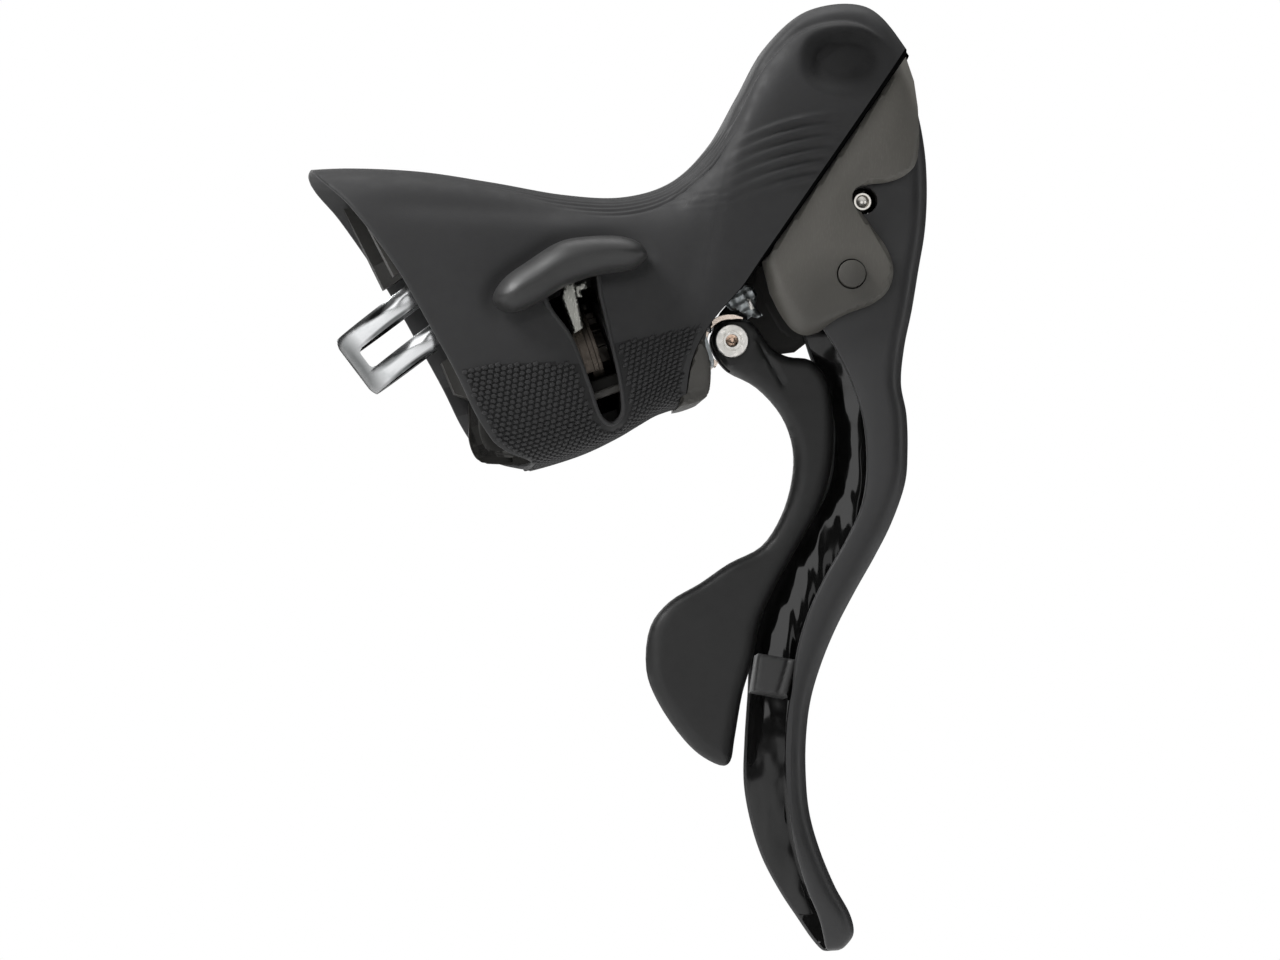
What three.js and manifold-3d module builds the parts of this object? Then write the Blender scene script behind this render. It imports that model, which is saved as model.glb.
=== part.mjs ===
// Brake and gear-shift lever for a drop handlebar, left hand, as an assembly of separate pieces.
//
// Row frame, millimetres: the origin lies on the handlebar's axis at the middle of the clamp band,
// +X is forwards, +Y is outboard (the rider's left) and +Z is up. The brake blade hangs down from
// the front of the housing, and the thumb lever stands out of its inboard side (-Y).
//
// Two more frames are used. The bar frame has N pointing from the handlebar into the lever and T
// running down the handlebar. The shaft frame has U along the shift shaft, pointing forwards, and
// V square to it, pointing up. Both lie in the XZ plane.
import * as THREE from "three";
import { mergeVertices } from "three/addons/utils/BufferGeometryUtils.js";
import Module from "manifold-3d";

const wasm = await Module();
wasm.setup();

// ------------------------------------------------------------------ driving dimensions
const GAP = 0.3; // clearance between neighbouring pieces
const DEG = Math.PI / 180;

const BAR = { radius: 11.9, lean: 37.4 * DEG, upperBend: 40, lowerBend: 75 };
const SADDLE_RADIUS = BAR.radius + 0.3;
const HOOD_WALL = 1.8;
const CORE_INSET = HOOD_WALL + GAP; // from the hood's outer surface to the housing under it
const FACE_INSET = 0.25; // from the hood's outer surface to the housing's bare faces

const PIVOT = { x: 79, z: 8.9, pinRadius: 2.5, bushRadius: 3.9 };
const RELEASE = { x: 81.7, z: 22.7, radius: 2.2 };
const ANCHOR = { x: 76.6, z: 17.8, radius: 3 };
const PADDLE_PIN = { x: 57.8, z: -2.9, radius: 1.5, bossRadius: 3.8 };
const SHAFT = { x: 34, z: -4.2, lean: 18.2 * DEG, radius: 2.6 };

const CHAMBER = { radius: 11.4, rear: -8.4 };
const BLADE_WALL = 1.8;
const CHEEK_SLOT = 7.9; // half the width of the slot that the blade's head works in

// ------------------------------------------------------------------ materials
const material = (color, roughness, metalness = 0) =>
  new THREE.MeshStandardMaterial({ color, roughness, metalness });
const RUBBER = material(0x1d1d1f, 0.75);
const COMPOSITE = material(0x35332f, 0.5);
const BLACK_PLASTIC = material(0x161617, 0.45);
const BLADE_RESIN = material(0x111112, 0.25);
const BUSH_PLASTIC = material(0x5b5a52, 0.5);
const STEEL = material(0xb9babb, 0.25, 1);
const CHROME = material(0xdcdee0, 0.12, 1);
const SPRING_STEEL = material(0x77797c, 0.35, 1);
const ZINC = material(0x8d9396, 0.5, 1);
const ALLOY = material(0xc4c6c8, 0.35, 1);

// ------------------------------------------------------------------ solids
const group = new THREE.Group();

/** A closed geometry as a solid that faces outwards. */
function solidOf(geometry) {
  const bare = geometry.clone();
  bare.deleteAttribute("normal");
  bare.deleteAttribute("uv");
  const merged = mergeVertices(bare, 1e-4);
  const vertProperties = new Float32Array(merged.attributes.position.array);
  const triVerts = new Uint32Array(merged.index.array);
  const made = new wasm.Manifold(new wasm.Mesh({ numProp: 3, vertProperties, triVerts }));
  if (made.volume() > 0) return made;
  triVerts.reverse();
  return new wasm.Manifold(new wasm.Mesh({ numProp: 3, vertProperties, triVerts }));
}

/** A solid's surface as a geometry with flat faces. */
function geometryOf(solid) {
  const mesh = solid.getMesh();
  const indexed = new THREE.BufferGeometry();
  indexed.setAttribute("position", new THREE.BufferAttribute(mesh.vertProperties, mesh.numProp));
  indexed.setIndex(new THREE.BufferAttribute(mesh.triVerts, 1));
  const flat = indexed.toNonIndexed();
  flat.computeVertexNormals();
  return flat;
}

/** Adds one named piece to the assembly, or to a frame inside it. */
function piece(name, look, solid, parent = group) {
  const mesh = new THREE.Mesh(geometryOf(solid), look);
  mesh.name = name;
  parent.add(mesh);
  return mesh;
}

const union = (...solids) => solids.reduce((all, one) => all.add(one));
const cut = (solid, ...cutters) => cutters.reduce((left, one) => left.subtract(one), solid);

/** A side-view outline of [x, z] points, extruded from yLow to yHigh. */
function slab(outline, yLow, yHigh) {
  const shape = new THREE.Shape(outline.map(([x, z]) => new THREE.Vector2(x, z)));
  const body = new THREE.ExtrudeGeometry(shape, { depth: yHigh - yLow, bevelEnabled: false });
  return solidOf(body.rotateX(Math.PI / 2).translate(0, yHigh, 0));
}

/** A side-view outline with its long edges chamfered by `edge`. */
function pillow(outline, yLow, yHigh, edge) {
  const shape = new THREE.Shape(outline.map(([x, z]) => new THREE.Vector2(x, z)));
  const body = new THREE.ExtrudeGeometry(shape, {
    depth: yHigh - yLow - 2 * edge,
    bevelThickness: edge,
    bevelSize: edge,
    bevelOffset: -edge,
    bevelSegments: 1,
  });
  return solidOf(body.rotateX(Math.PI / 2).translate(0, yHigh - edge, 0));
}

/** A rod along Y. */
function rod(at, radius, yLow, yHigh, sides = 20) {
  const body = new THREE.CylinderGeometry(radius, radius, yHigh - yLow, sides);
  return solidOf(body.translate(at.x, (yLow + yHigh) / 2, at.z));
}

/** A curve through [x, z] points, sampled with `perSpan` steps between neighbours. */
function smooth(points, perSpan = 2, closed = false) {
  const knots = points.map(([x, z]) => new THREE.Vector3(x, 0, z));
  const curve = new THREE.CatmullRomCurve3(knots, closed, "centripetal");
  const spans = closed ? points.length : points.length - 1;
  const found = curve.getPoints(spans * perSpan).map((p) => [p.x, p.z]);
  return closed ? found.slice(0, -1) : found;
}

/** Joins planar sections, each { loop: Vector3[], flat: Vector2[] }, into one closed solid. */
function loft(sections) {
  const count = sections[0].loop.length;
  const positions = sections.flatMap((s) => s.loop.flatMap((p) => p.toArray()));
  const index = [];
  for (let i = 0; i + 1 < sections.length; i += 1) {
    for (let j = 0; j < count; j += 1) {
      const a = i * count + j;
      const b = i * count + ((j + 1) % count);
      index.push(a, b, b + count, a, b + count, a + count);
    }
  }
  const cap = ({ flat }, first, reversed) => {
    const way = Math.sign(THREE.ShapeUtils.area(flat)) * (reversed ? -1 : 1);
    for (const [a, b, c] of THREE.ShapeUtils.triangulateShape(flat.slice(), [])) {
      const turn = Math.sign(THREE.ShapeUtils.area([flat[a], flat[b], flat[c]]));
      const face = turn === way ? [a, b, c] : [a, c, b];
      index.push(...face.map((k) => k + first));
    }
  };
  cap(sections[0], 0, true);
  cap(sections.at(-1), (sections.length - 1) * count, false);
  const geometry = new THREE.BufferGeometry();
  geometry.setAttribute("position", new THREE.Float32BufferAttribute(positions, 3));
  geometry.setIndex(index);
  return solidOf(geometry);
}

/** Rows of numbers joined by a smooth curve: the values at `t`, from 0 at the first row to 1. */
function along(rows, t) {
  const at = Math.min(t, 1 - 1e-9) * (rows.length - 1);
  const i = Math.floor(at);
  const f = at - i;
  const row = (k) => rows[Math.max(0, Math.min(rows.length - 1, k))];
  return row(i).map((_, c) => {
    const [p, q, r, s] = [row(i - 1)[c], row(i)[c], row(i + 1)[c], row(i + 2)[c]];
    const bend = 2 * p - 5 * q + 4 * r - s;
    return q + 0.5 * f * (r - p + f * (bend + f * (3 * (q - r) + s - p)));
  });
}

// ------------------------------------------------------------------ bar frame and shaft frame
const N = [Math.cos(BAR.lean), Math.sin(BAR.lean)];
const T = [Math.sin(BAR.lean), -Math.cos(BAR.lean)];
const fromBar = (n, t) => [n * N[0] + t * T[0], n * N[1] + t * T[1]];

/** A slab whose outline is given in the bar frame, as [n, t] points. */
const barSlab = (outline, yLow, yHigh) =>
  slab(outline.map(([n, t]) => fromBar(n, t)), yLow, yHigh);

/** A rod that points along N from nLow to nHigh. */
function barRod(radius, nLow, nHigh, sides = 20) {
  const body = new THREE.CylinderGeometry(radius, radius, nHigh - nLow, sides);
  body.rotateZ(-Math.PI / 2).translate((nLow + nHigh) / 2, 0, 0).rotateY(-BAR.lean);
  return solidOf(body);
}

const shaftFrame = new THREE.Group();
shaftFrame.position.set(SHAFT.x, 0, SHAFT.z);
shaftFrame.rotation.y = -SHAFT.lean;
shaftFrame.updateMatrixWorld(true);
group.add(shaftFrame);

const onShaft = (geometry) => geometry.applyMatrix4(shaftFrame.matrixWorld);

/** A ring or disc about the shaft, in the shaft frame, from its [radius, u] profile. */
function turned(profile, sides = 24) {
  const points = [...profile, profile[0]].map(([r, u]) => new THREE.Vector2(r, u));
  return solidOf(new THREE.LatheGeometry(points, sides).rotateZ(-Math.PI / 2));
}

const ringProfile = (outer, inner, uLow, uHigh) => [
  [inner, uLow],
  [outer, uLow],
  [outer, uHigh],
  [inner, uHigh],
];
const ring = (outer, inner, uLow, uHigh, sides) =>
  turned(ringProfile(outer, inner, uLow, uHigh), sides);

/** A solid cylinder on the shaft's axis, in the row frame, for cutting. */
function shaftBore(radius, uLow, uHigh, sides = 28) {
  const body = new THREE.CylinderGeometry(radius, radius, uHigh - uLow, sides);
  return solidOf(onShaft(body.rotateZ(-Math.PI / 2).translate((uLow + uHigh) / 2, 0, 0)));
}

/** A rod parallel to the shaft through [y, v], in the shaft frame. */
function shaftRod(radius, uLow, uHigh, y = 0, v = 0, sides = 16) {
  const body = new THREE.CylinderGeometry(radius, radius, uHigh - uLow, sides);
  return solidOf(body.rotateZ(-Math.PI / 2).translate((uLow + uHigh) / 2, y, v));
}

/** An outline of [y, v] points in the shaft frame, from uLow to uHigh. */
function shaftPlate(outline, uLow, uHigh) {
  const shape = new THREE.Shape(outline.map(([y, v]) => new THREE.Vector2(y, v)));
  const body = new THREE.ExtrudeGeometry(shape, { depth: uHigh - uLow, bevelEnabled: false });
  const axes = new THREE.Matrix4().makeBasis(
    new THREE.Vector3(0, 1, 0),
    new THREE.Vector3(0, 0, 1),
    new THREE.Vector3(1, 0, 0),
  );
  return solidOf(body.applyMatrix4(axes).translate(uLow, 0, 0));
}

/** A round wire along a curve. */
function wire(curve, radius, steps, sides = 6) {
  const section = new THREE.Shape();
  for (let i = 0; i < sides; i += 1) {
    const turn = (i / sides) * 2 * Math.PI;
    const point = [radius * Math.cos(turn), radius * Math.sin(turn)];
    if (i) section.lineTo(...point);
    else section.moveTo(...point);
  }
  return solidOf(new THREE.ExtrudeGeometry(section, { steps, extrudePath: curve }));
}

/** A helix about Y (or about X for a shaft-frame spring). */
class Helix extends THREE.Curve {
  constructor(centre, radius, low, high, turns, axis = "y") {
    super();
    Object.assign(this, { centre, radius, low, high, turns, axis });
  }

  getPoint(t, target = new THREE.Vector3()) {
    const turn = t * this.turns * 2 * Math.PI;
    const rise = this.low + t * (this.high - this.low);
    const [c, s] = [this.radius * Math.cos(turn), this.radius * Math.sin(turn)];
    if (this.axis === "x") return target.set(rise, c, s);
    return target.set(this.centre.x + c, rise, this.centre.z + s);
  }
}

// ------------------------------------------------------------------ the housing's outer form
// Each row is one section of the hood: its top [x, z], its bottom [x, z] and its half width.
const HOOD_ROWS = [
  [-22.4, 27.6, 12.0, -28.8, 18.0],
  [-12.0, 28.2, 15.6, -26.9, 18.2],
  [1.0, 27.7, 20.0, -26.2, 18.0],
  [14.0, 25.9, 26.0, -24.6, 17.4],
  [27.0, 23.8, 32.0, -22.5, 16.6],
  [38.0, 23.4, 37.5, -19.8, 15.9],
  [47.0, 26.3, 41.5, -17.4, 15.5],
  [54.0, 33.2, 44.2, -15.8, 15.2],
  [59.3, 42.4, 46.2, -15.0, 15.2],
  [64.4, 51.4, 48.2, -14.4, 15.2],
  [72.2, 58.0, 50.6, -14.0, 14.8],
  [82.6, 58.8, 53.6, -13.6, 14.0],
  [90.4, 52.0, 57.0, -13.2, 13.0],
  [94.6, 42.0, 62.0, -12.6, 12.2],
  [98.0, 32.0, 70.0, -12.0, 11.6],
  [101.0, 22.0, 80.0, -12.0, 11.2],
  [104.0, 12.0, 90.0, -12.0, 11.0],
];
const HOOD_SQUARENESS = { top: 2.9, bottom: 4.4 };
const HOOD_SECTIONS = 28;
const HOOD_POINTS = 24;

/** The hood's form, drawn in by `inset`. */
function hoodForm(inset) {
  const sections = [];
  for (let i = 0; i < HOOD_SECTIONS; i += 1) {
    const [topX, topZ, lowX, lowZ, halfWidth] = along(HOOD_ROWS, i / (HOOD_SECTIONS - 1));
    const span = Math.hypot(topX - lowX, topZ - lowZ);
    const up = [(topX - lowX) / span, (topZ - lowZ) / span];
    const [height, width] = [span / 2 - inset, halfWidth - inset];
    const loop = [];
    const flat = [];
    for (let j = 0; j < HOOD_POINTS; j += 1) {
      const turn = (j / HOOD_POINTS) * 2 * Math.PI;
      const { top, bottom } = HOOD_SQUARENESS;
      const power = 2 / (Math.cos(turn) > 0 ? top : bottom);
      const bulge = (c) => Math.sign(c) * Math.abs(c) ** power;
      const rise = height * bulge(Math.cos(turn));
      const y = width * bulge(Math.sin(turn));
      const [x, z] = [(topX + lowX) / 2 + rise * up[0], (topZ + lowZ) / 2 + rise * up[1]];
      loop.push(new THREE.Vector3(x, y, z));
      flat.push(new THREE.Vector2(y, rise));
    }
    sections.push({ loop, flat });
  }
  return loft(sections);
}

// The hood's rear edge, where it meets the handlebar, and its front edge, from the top down.
const HOOD_REAR_EDGE = smooth([
  [-19.0, 31.0],
  [-18.6, 27.4],
  [-12.6, 20.8],
  [-3.9, 8.8],
  [1.6, -0.7],
  [7.1, -10.6],
  [10.2, -17.0],
  [12.4, -20.6],
  [14.2, -22.8],
  [17.0, -24.4],
  [20.4, -25.4],
  [24.0, -27.0],
  [25.0, -32.0],
]);
const HOOD_FRONT_EDGE = [
  [94.4, 57.0],
  [62.5, 11.5],
  ...smooth([
    [59.1, 6.4],
    [53.6, 0.2],
    [50.6, -4.8],
    [49.3, -9.0],
    [48.9, -18.0],
  ]),
];
const behind = (edge, x = -60) => [...edge, [x, edge.at(-1)[1]], [x, edge[0][1]]];
const ahead = (edge, x = 130) => [...edge, [x, edge.at(-1)[1]], [x, edge[0][1]]];
const shifted = (outline, dx, dz = 0) => outline.map(([x, z]) => [x + dx, z + dz]);

// The slot in the inboard side that the thumb lever's arm works in.
const THUMB_SLOT = smooth(
  [
    [22.7, 7.4],
    [23.1, 2.8],
    [27.4, -3.5],
    [30.7, -11.8],
    [33.1, -17.8],
    [35.1, -18.8],
    [37.0, -17.2],
    [36.8, -12.4],
    [34.7, -3.0],
    [33.1, 3.8],
    [31.5, 10.2],
    [26.7, 9.8],
  ],
  2,
  true,
);

function makeHood() {
  const shell = cut(hoodForm(0), hoodForm(HOOD_WALL));
  return cut(
    shell,
    slab(behind(HOOD_REAR_EDGE), -30, 30),
    slab(ahead(HOOD_FRONT_EDGE), -30, 30),
    slab(THUMB_SLOT, -30, 0),
  );
}

// ------------------------------------------------------------------ housing
/** The space that the handlebar takes: it bends backwards above the clamp and below it. */
function barSpace(radius) {
  const sections = [];
  const steps = 7;
  for (let i = -steps; i <= steps; i += 1) {
    const [bend, way] = i < 0 ? [BAR.lowerBend, 1] : [BAR.upperBend, -1];
    const turn = (Math.abs(i) / steps) * (i < 0 ? 40 : 60) * DEG;
    const loop = [];
    const flat = [];
    for (let j = 0; j < 28; j += 1) {
      const a = (j / 28) * 2 * Math.PI;
      const [out, y] = [radius * Math.cos(a), radius * Math.sin(a)];
      const n = (bend + out) * Math.cos(turn) - bend;
      const t = way * (bend + out) * Math.sin(turn);
      const [x, z] = fromBar(n, t);
      loop.push(new THREE.Vector3(x, y, z));
      flat.push(new THREE.Vector2(y, out));
    }
    sections.push({ loop, flat });
  }
  return loft(sections);
}

// The bare front of the housing, which carries the blade between two cheeks.
const CHEEK_OUTLINE = [
  [89.7, 48.7],
  [90.8, 44.5],
  ...smooth([
    [91.5, 39.7],
    [91.7, 33.1],
    [90.9, 29.1],
    [88.9, 27.1],
    [85.8, 25.9],
    [82.2, 25.4],
    [80.1, 24.1],
    [79.8, 22.1],
    [81.1, 19.9],
  ]),
  ...smooth([
    [82.6, 17.9],
    [85.7, 13.5],
    [86.8, 9.7],
    [85.7, 5.9],
    [83.3, 3.8],
    [78.6, 1.9],
    [75.8, 0.4],
    [73.3, -1.5],
    [70.7, -2.1],
    [68.7, -1.3],
    [66.5, 1.3],
    [64.3, 5.5],
  ]),
  [62.1, 10.9],
];

// The outboard cheek reaches lower and further back, and closes the outboard side.
const OUTBOARD_SKIRT = [
  [63.0, 11.4],
  [60.6, 8.4],
  [64.6, -4.9],
  [70.6, -3.8],
  [78.0, 2.0],
  [80.0, 12.0],
];

// The heel under the handlebar, behind the hood's lower edge.
const HEEL_OUTLINE = [
  [18.0, -14.0],
  [11.2, -12.6],
  [11.2, -20.0],
  [12.3, -23.2],
  [14.4, -25.1],
  [17.0, -25.6],
  [21.6, -25.5],
  [23.0, -24.0],
];

// The lip under the shift mechanism's front, ahead of the hood.
const LIP_OUTLINE = [
  [49.0, -3.2],
  [52.2, -1.8],
  [54.4, -4.5],
  [54.4, -10.9],
  [52.8, -14.4],
  [46.0, -18.0],
];

// The housing's own side view: the hood's form trims its top and bottom.
const CORE_OUTLINE = [
  [-17.0, 32.0],
  [-11.1, 20.5],
  [-4.5, 7.5],
  [-2.4, 8.7],
  [4.4, -3.6],
  [6.0, -5.6],
  [8.5, -11.5],
  [11.4, -12.6],
  [11.5, -20.0],
  [16.0, -34.0],
  [47.0, -34.0],
  [48.4, -14.0],
  [53.2, -10.0],
  [52.2, -3.5],
  [54.0, 6.0],
  [60.0, 14.0],
  [66.0, 14.0],
  [80.0, 24.0],
  [88.0, 44.0],
  [88.0, 62.0],
];

/** The slot between the cheeks: clear of the blade's head wherever the lever stands. */
const HEAD_SLOT = [
  [96.0, 58.0],
  [88.2, 48.6],
  [84.0, 43.0],
  [73.0, 28.4],
  [68.4, 19.5],
  [68.0, 8.0],
  [69.5, -12.0],
  [96.0, -12.0],
];

// The two cable housings end side by side in ferrules, high in the rear of the housing.
const STOP = { x: 1.0, z: 20.8, y: 6.3, lean: 29.5 * DEG, outer: 3.2, inner: 2.6, depth: 8.5 };

/** A geometry built along +Y, turned to run along a stop's axis and out of the housing. */
function atStop(geometry, y) {
  geometry.rotateZ(Math.PI / 2).rotateY(STOP.lean);
  return geometry.translate(STOP.x, y, STOP.z);
}

function stopBore(y, cableLength) {
  const socket = new THREE.CylinderGeometry(STOP.outer + GAP, STOP.outer + GAP, 22, 18);
  const seat = STOP.depth + 1.5;
  const cableWay = new THREE.CylinderGeometry(1.1, 1.1, cableLength, 10);
  return union(
    solidOf(atStop(socket.translate(0, 11 - seat, 0), y)),
    solidOf(atStop(cableWay.translate(0, 1 - seat - cableLength / 2, 0), y)),
  );
}

/** A straight way for the brake's inner cable, from the stop to the slot for the blade's head. */
const cableTunnel = () => {
  const body = new THREE.CylinderGeometry(1.3, 1.3, 58, 10);
  return solidOf(body.rotateZ(Math.PI / 2).translate(43, STOP.y, 15.6));
};

const CLAMP = {
  width: 11.6,
  neck: 9,
  thickness: 1.1,
  inner: 12.3,
  barrelN: 17,
  barrelRadius: 3,
  legEnd: 19.5,
  headN: 26.8,
};

function makeHousing() {
  const core = hoodForm(CORE_INSET).intersect(slab(CORE_OUTLINE, -30, 30));
  const bare = slab(ahead(shifted(HOOD_FRONT_EDGE, 0.4)), -30, 30);
  const face = hoodForm(FACE_INSET).intersect(bare);
  const cheeks = face.intersect(slab(CHEEK_OUTLINE, -30, 30));
  const skirt = face.intersect(slab(OUTBOARD_SKIRT, CHEEK_SLOT, 30));
  const lip = face.intersect(slab(LIP_OUTLINE, -30, 30));
  const heelSpace = slab(behind(shifted(HOOD_REAR_EDGE, -0.4)), -30, 30);
  const heel = hoodForm(0.8).intersect(slab(HEEL_OUTLINE, -30, 30)).intersect(heelSpace);
  const rear = fromBar(CLAMP.barrelN, 0);
  const webPlane = [
    [STOP.x + 14 * Math.sin(STOP.lean), STOP.z + 14 * Math.cos(STOP.lean)],
    [STOP.x - 9 * Math.sin(STOP.lean), STOP.z - 9 * Math.cos(STOP.lean)],
    [-30, 2],
    [-30, 45],
  ];
  const legEnd = CLAMP.legEnd + 2 * GAP;
  const legHalf = CLAMP.width / 2 + GAP;
  const legOutline = [[8, -legHalf], [legEnd, -legHalf], [legEnd, legHalf], [8, legHalf]];
  const slotForLegs = (low, high) => barSlab(legOutline, low, high);
  return cut(
    union(core, cheeks, skirt, lip, heel),
    barSpace(SADDLE_RADIUS),
    barSlab([[-30, -8.4], [12.6, -8.4], [12.6, 8.4], [-30, 8.4]], -30, 30),
    slab(webPlane, -11.6, 11.6),
    slab(HEAD_SLOT, -CHEEK_SLOT, CHEEK_SLOT),
    shaftBore(CHAMBER.radius, CHAMBER.rear, 24),
    shaftBore(9.4, 20, 34, 20),
    shaftBore(5.3, -10.6, 0, 20),
    slab(THUMB_SLOT, -30, 0),
    rod(PIVOT, PIVOT.pinRadius + GAP, -30, 30),
    rod(RELEASE, RELEASE.radius + 0.5, -30, 30),
    slotForLegs(11.9, 13.9),
    slotForLegs(-13.9, -11.9),
    rod({ x: rear[0], z: rear[1] }, CLAMP.barrelRadius + 0.4, -30, 30),
    barRod(2.8, 8, 30),
    barRod(4.3, CLAMP.headN - GAP, 45),
    stopBore(STOP.y, 10),
    stopBore(-STOP.y, 28),
    cableTunnel(),
  );
}

function makeStop(y) {
  const { outer, inner, depth } = STOP;
  const profile = [
    [0.8, -depth - 1.2],
    [outer, -depth - 1.2],
    [outer, 0.8],
    [inner, 0.8],
    [inner, -depth],
    [0.8, -depth],
  ];
  const points = [...profile, profile[0]].map(([r, u]) => new THREE.Vector2(r, u));
  return solidOf(atStop(new THREE.LatheGeometry(points, 18), y));
}

// ------------------------------------------------------------------ clamp
function makeBand() {
  const { inner, thickness, width, neck, legEnd, barrelN, barrelRadius } = CLAMP;
  const outer = inner + thickness;
  const shape = new THREE.Shape();
  shape.moveTo(legEnd, -outer).lineTo(0, -outer);
  shape.absarc(0, 0, outer, 1.5 * Math.PI, 0.5 * Math.PI, true);
  shape.lineTo(legEnd, outer).lineTo(legEnd, inner).lineTo(0, inner);
  shape.absarc(0, 0, inner, 0.5 * Math.PI, 1.5 * Math.PI, false);
  shape.lineTo(legEnd, -inner);
  const strap = new THREE.ExtrudeGeometry(shape, {
    depth: width,
    bevelEnabled: false,
    curveSegments: 14,
  });
  // The strap's outline lies in N and Y, and its width runs along T.
  const axes = new THREE.Matrix4().makeBasis(
    new THREE.Vector3(N[0], 0, N[1]),
    new THREE.Vector3(0, 1, 0),
    new THREE.Vector3(-T[0], 0, -T[1]),
  );
  strap.translate(0, 0, -width / 2).applyMatrix4(axes);
  const window = barSlab([[-11.6, -2], [9, -2], [9, 2], [-11.6, 2]], -20, 20);
  const shoulder = (side) =>
    barSlab([[2, side * 9], [2, side * neck / 2], [30, side * neck / 2], [30, side * 9]], -20, 20);
  const [x, z] = fromBar(barrelN, 0);
  const eyes = rod({ x, z }, barrelRadius + GAP, -20, 20);
  return cut(solidOf(strap), window, shoulder(1), shoulder(-1), eyes);
}

function makeClamp() {
  const [x, z] = fromBar(CLAMP.barrelN, 0);
  piece("clamp_band", CHROME, makeBand());
  const barrel = cut(rod({ x, z }, CLAMP.barrelRadius, -13.3, 13.3, 18), barRod(2.7, 8, 30, 16));
  piece("clamp_barrel_nut", STEEL, barrel);
  const socket = barRod(1.9, CLAMP.headN + 0.9, 40, 6);
  const bolt = union(barRod(2.4, 13.8, CLAMP.headN + 0.1, 16), barRod(3.8, CLAMP.headN, 29.7, 18));
  piece("clamp_bolt", STEEL, cut(bolt, socket));
}

// ------------------------------------------------------------------ brake blade
// Each row is one section, from the head to the tip: the front edge [x, z], the outboard wall's
// rear edge [x, z], how far back the inboard wall reaches as a share of that depth, the half
// width, the front wall's thickness, and the sweep outboard.
const BLADE_ROWS = [
  [90.0, 45.2, 88.1, 44.4, 1.0, 6.0, 0.8, 0],
  [92.1, 39.8, 84.7, 37.6, 1.0, 7.2, 2.2, 0],
  [93.5, 32.4, 79.9, 31.0, 1.0, 7.5, 2.4, 0],
  [93.9, 25.0, 74.5, 24.4, 1.0, 7.5, 2.4, 0],
  [93.5, 17.6, 71.2, 17.6, 1.0, 7.5, 2.4, 0],
  [92.3, 10.4, 70.9, 10.0, 1.0, 7.5, 2.4, 0],
  [91.1, 3.2, 71.7, 2.2, 0.97, 7.5, 2.3, 0],
  [89.7, -3.6, 74.6, -4.0, 0.86, 7.5, 2.2, 0],
  [89.1, -10.2, 76.2, -10.6, 0.74, 7.4, 2.2, 0],
  [90.1, -16.0, 77.2, -17.0, 0.67, 7.4, 2.2, 0],
  [90.3, -22.6, 77.2, -22.8, 0.62, 7.4, 2.2, 0.1],
  [89.8, -28.6, 76.6, -27.4, 0.58, 7.3, 2.2, 0.2],
  [87.4, -35.6, 75.0, -31.6, 0.51, 7.2, 2.2, 0.4],
  [84.3, -41.8, 71.6, -36.8, 0.47, 7.2, 2.2, 0.6],
  [80.7, -48.2, 68.0, -43.4, 0.47, 7.2, 2.2, 0.9],
  [77.3, -54.8, 65.2, -50.6, 0.46, 7.2, 2.2, 1.3],
  [74.6, -61.4, 63.4, -58.4, 0.42, 7.2, 2.2, 1.7],
  [72.7, -68.0, 61.8, -66.6, 0.37, 7.2, 2.2, 2.1],
  [71.8, -74.8, 61.0, -74.8, 0.35, 7.2, 2.2, 2.5],
  [71.7, -81.6, 60.7, -82.4, 0.36, 7.2, 2.2, 3.0],
  [72.4, -88.4, 61.8, -89.4, 0.4, 7.1, 2.2, 3.5],
  [74.3, -95.0, 64.0, -96.2, 0.49, 6.9, 2.2, 4.0],
  [77.1, -101.6, 67.2, -102.4, 0.6, 6.6, 2.2, 4.5],
  [79.7, -106.6, 70.4, -107.4, 0.7, 6.0, 2.4, 4.9],
  [80.7, -110.0, 72.8, -110.9, 0.8, 4.8, 2.8, 5.2],
  [79.5, -112.9, 75.0, -113.4, 0.9, 3.0, 3.0, 5.4],
];
const BLADE_FRONT_POINTS = 9;
const BLADE_INNER_POINTS = 7;

/** The front of a blade section: [depth, y] points round it, from -halfWidth to +halfWidth. */
function bladeNose(start, reach, halfWidth, count) {
  const points = [];
  for (let k = 0; k < count; k += 1) {
    const turn = (-0.5 + k / (count - 1)) * Math.PI;
    const bulge = (c) => Math.sign(c) * Math.abs(c) ** 0.8;
    points.push([start + reach * (1 - bulge(Math.cos(turn))), halfWidth * bulge(Math.sin(turn))]);
  }
  return points;
}

function bladeSection([frontX, frontZ, rearX, rearZ, inboard, halfWidth, front, sweep]) {
  const depth = Math.hypot(rearX - frontX, rearZ - frontZ);
  const back = [(rearX - frontX) / depth, (rearZ - frontZ) / depth];
  const nose = Math.min(4.2, 0.45 * depth);
  const wall = Math.min(BLADE_WALL, 0.45 * halfWidth);
  const inner = Math.min(front, 0.8 * depth);
  const innerReach = Math.max(0.2, Math.min(nose - 1, 0.9 * inboard * depth - inner));
  const outline = [
    ...bladeNose(0, nose, halfWidth, BLADE_FRONT_POINTS),
    [depth, halfWidth],
    [depth, halfWidth - wall],
    ...bladeNose(inner, innerReach, halfWidth - wall, BLADE_INNER_POINTS).reverse(),
    [inboard * depth, wall - halfWidth],
    [inboard * depth, -halfWidth],
  ];
  const place = ([p, y]) =>
    new THREE.Vector3(frontX + p * back[0], y + sweep, frontZ + p * back[1]);
  return { loop: outline.map(place), flat: outline.map(([p, y]) => new THREE.Vector2(p, y)) };
}

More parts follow.
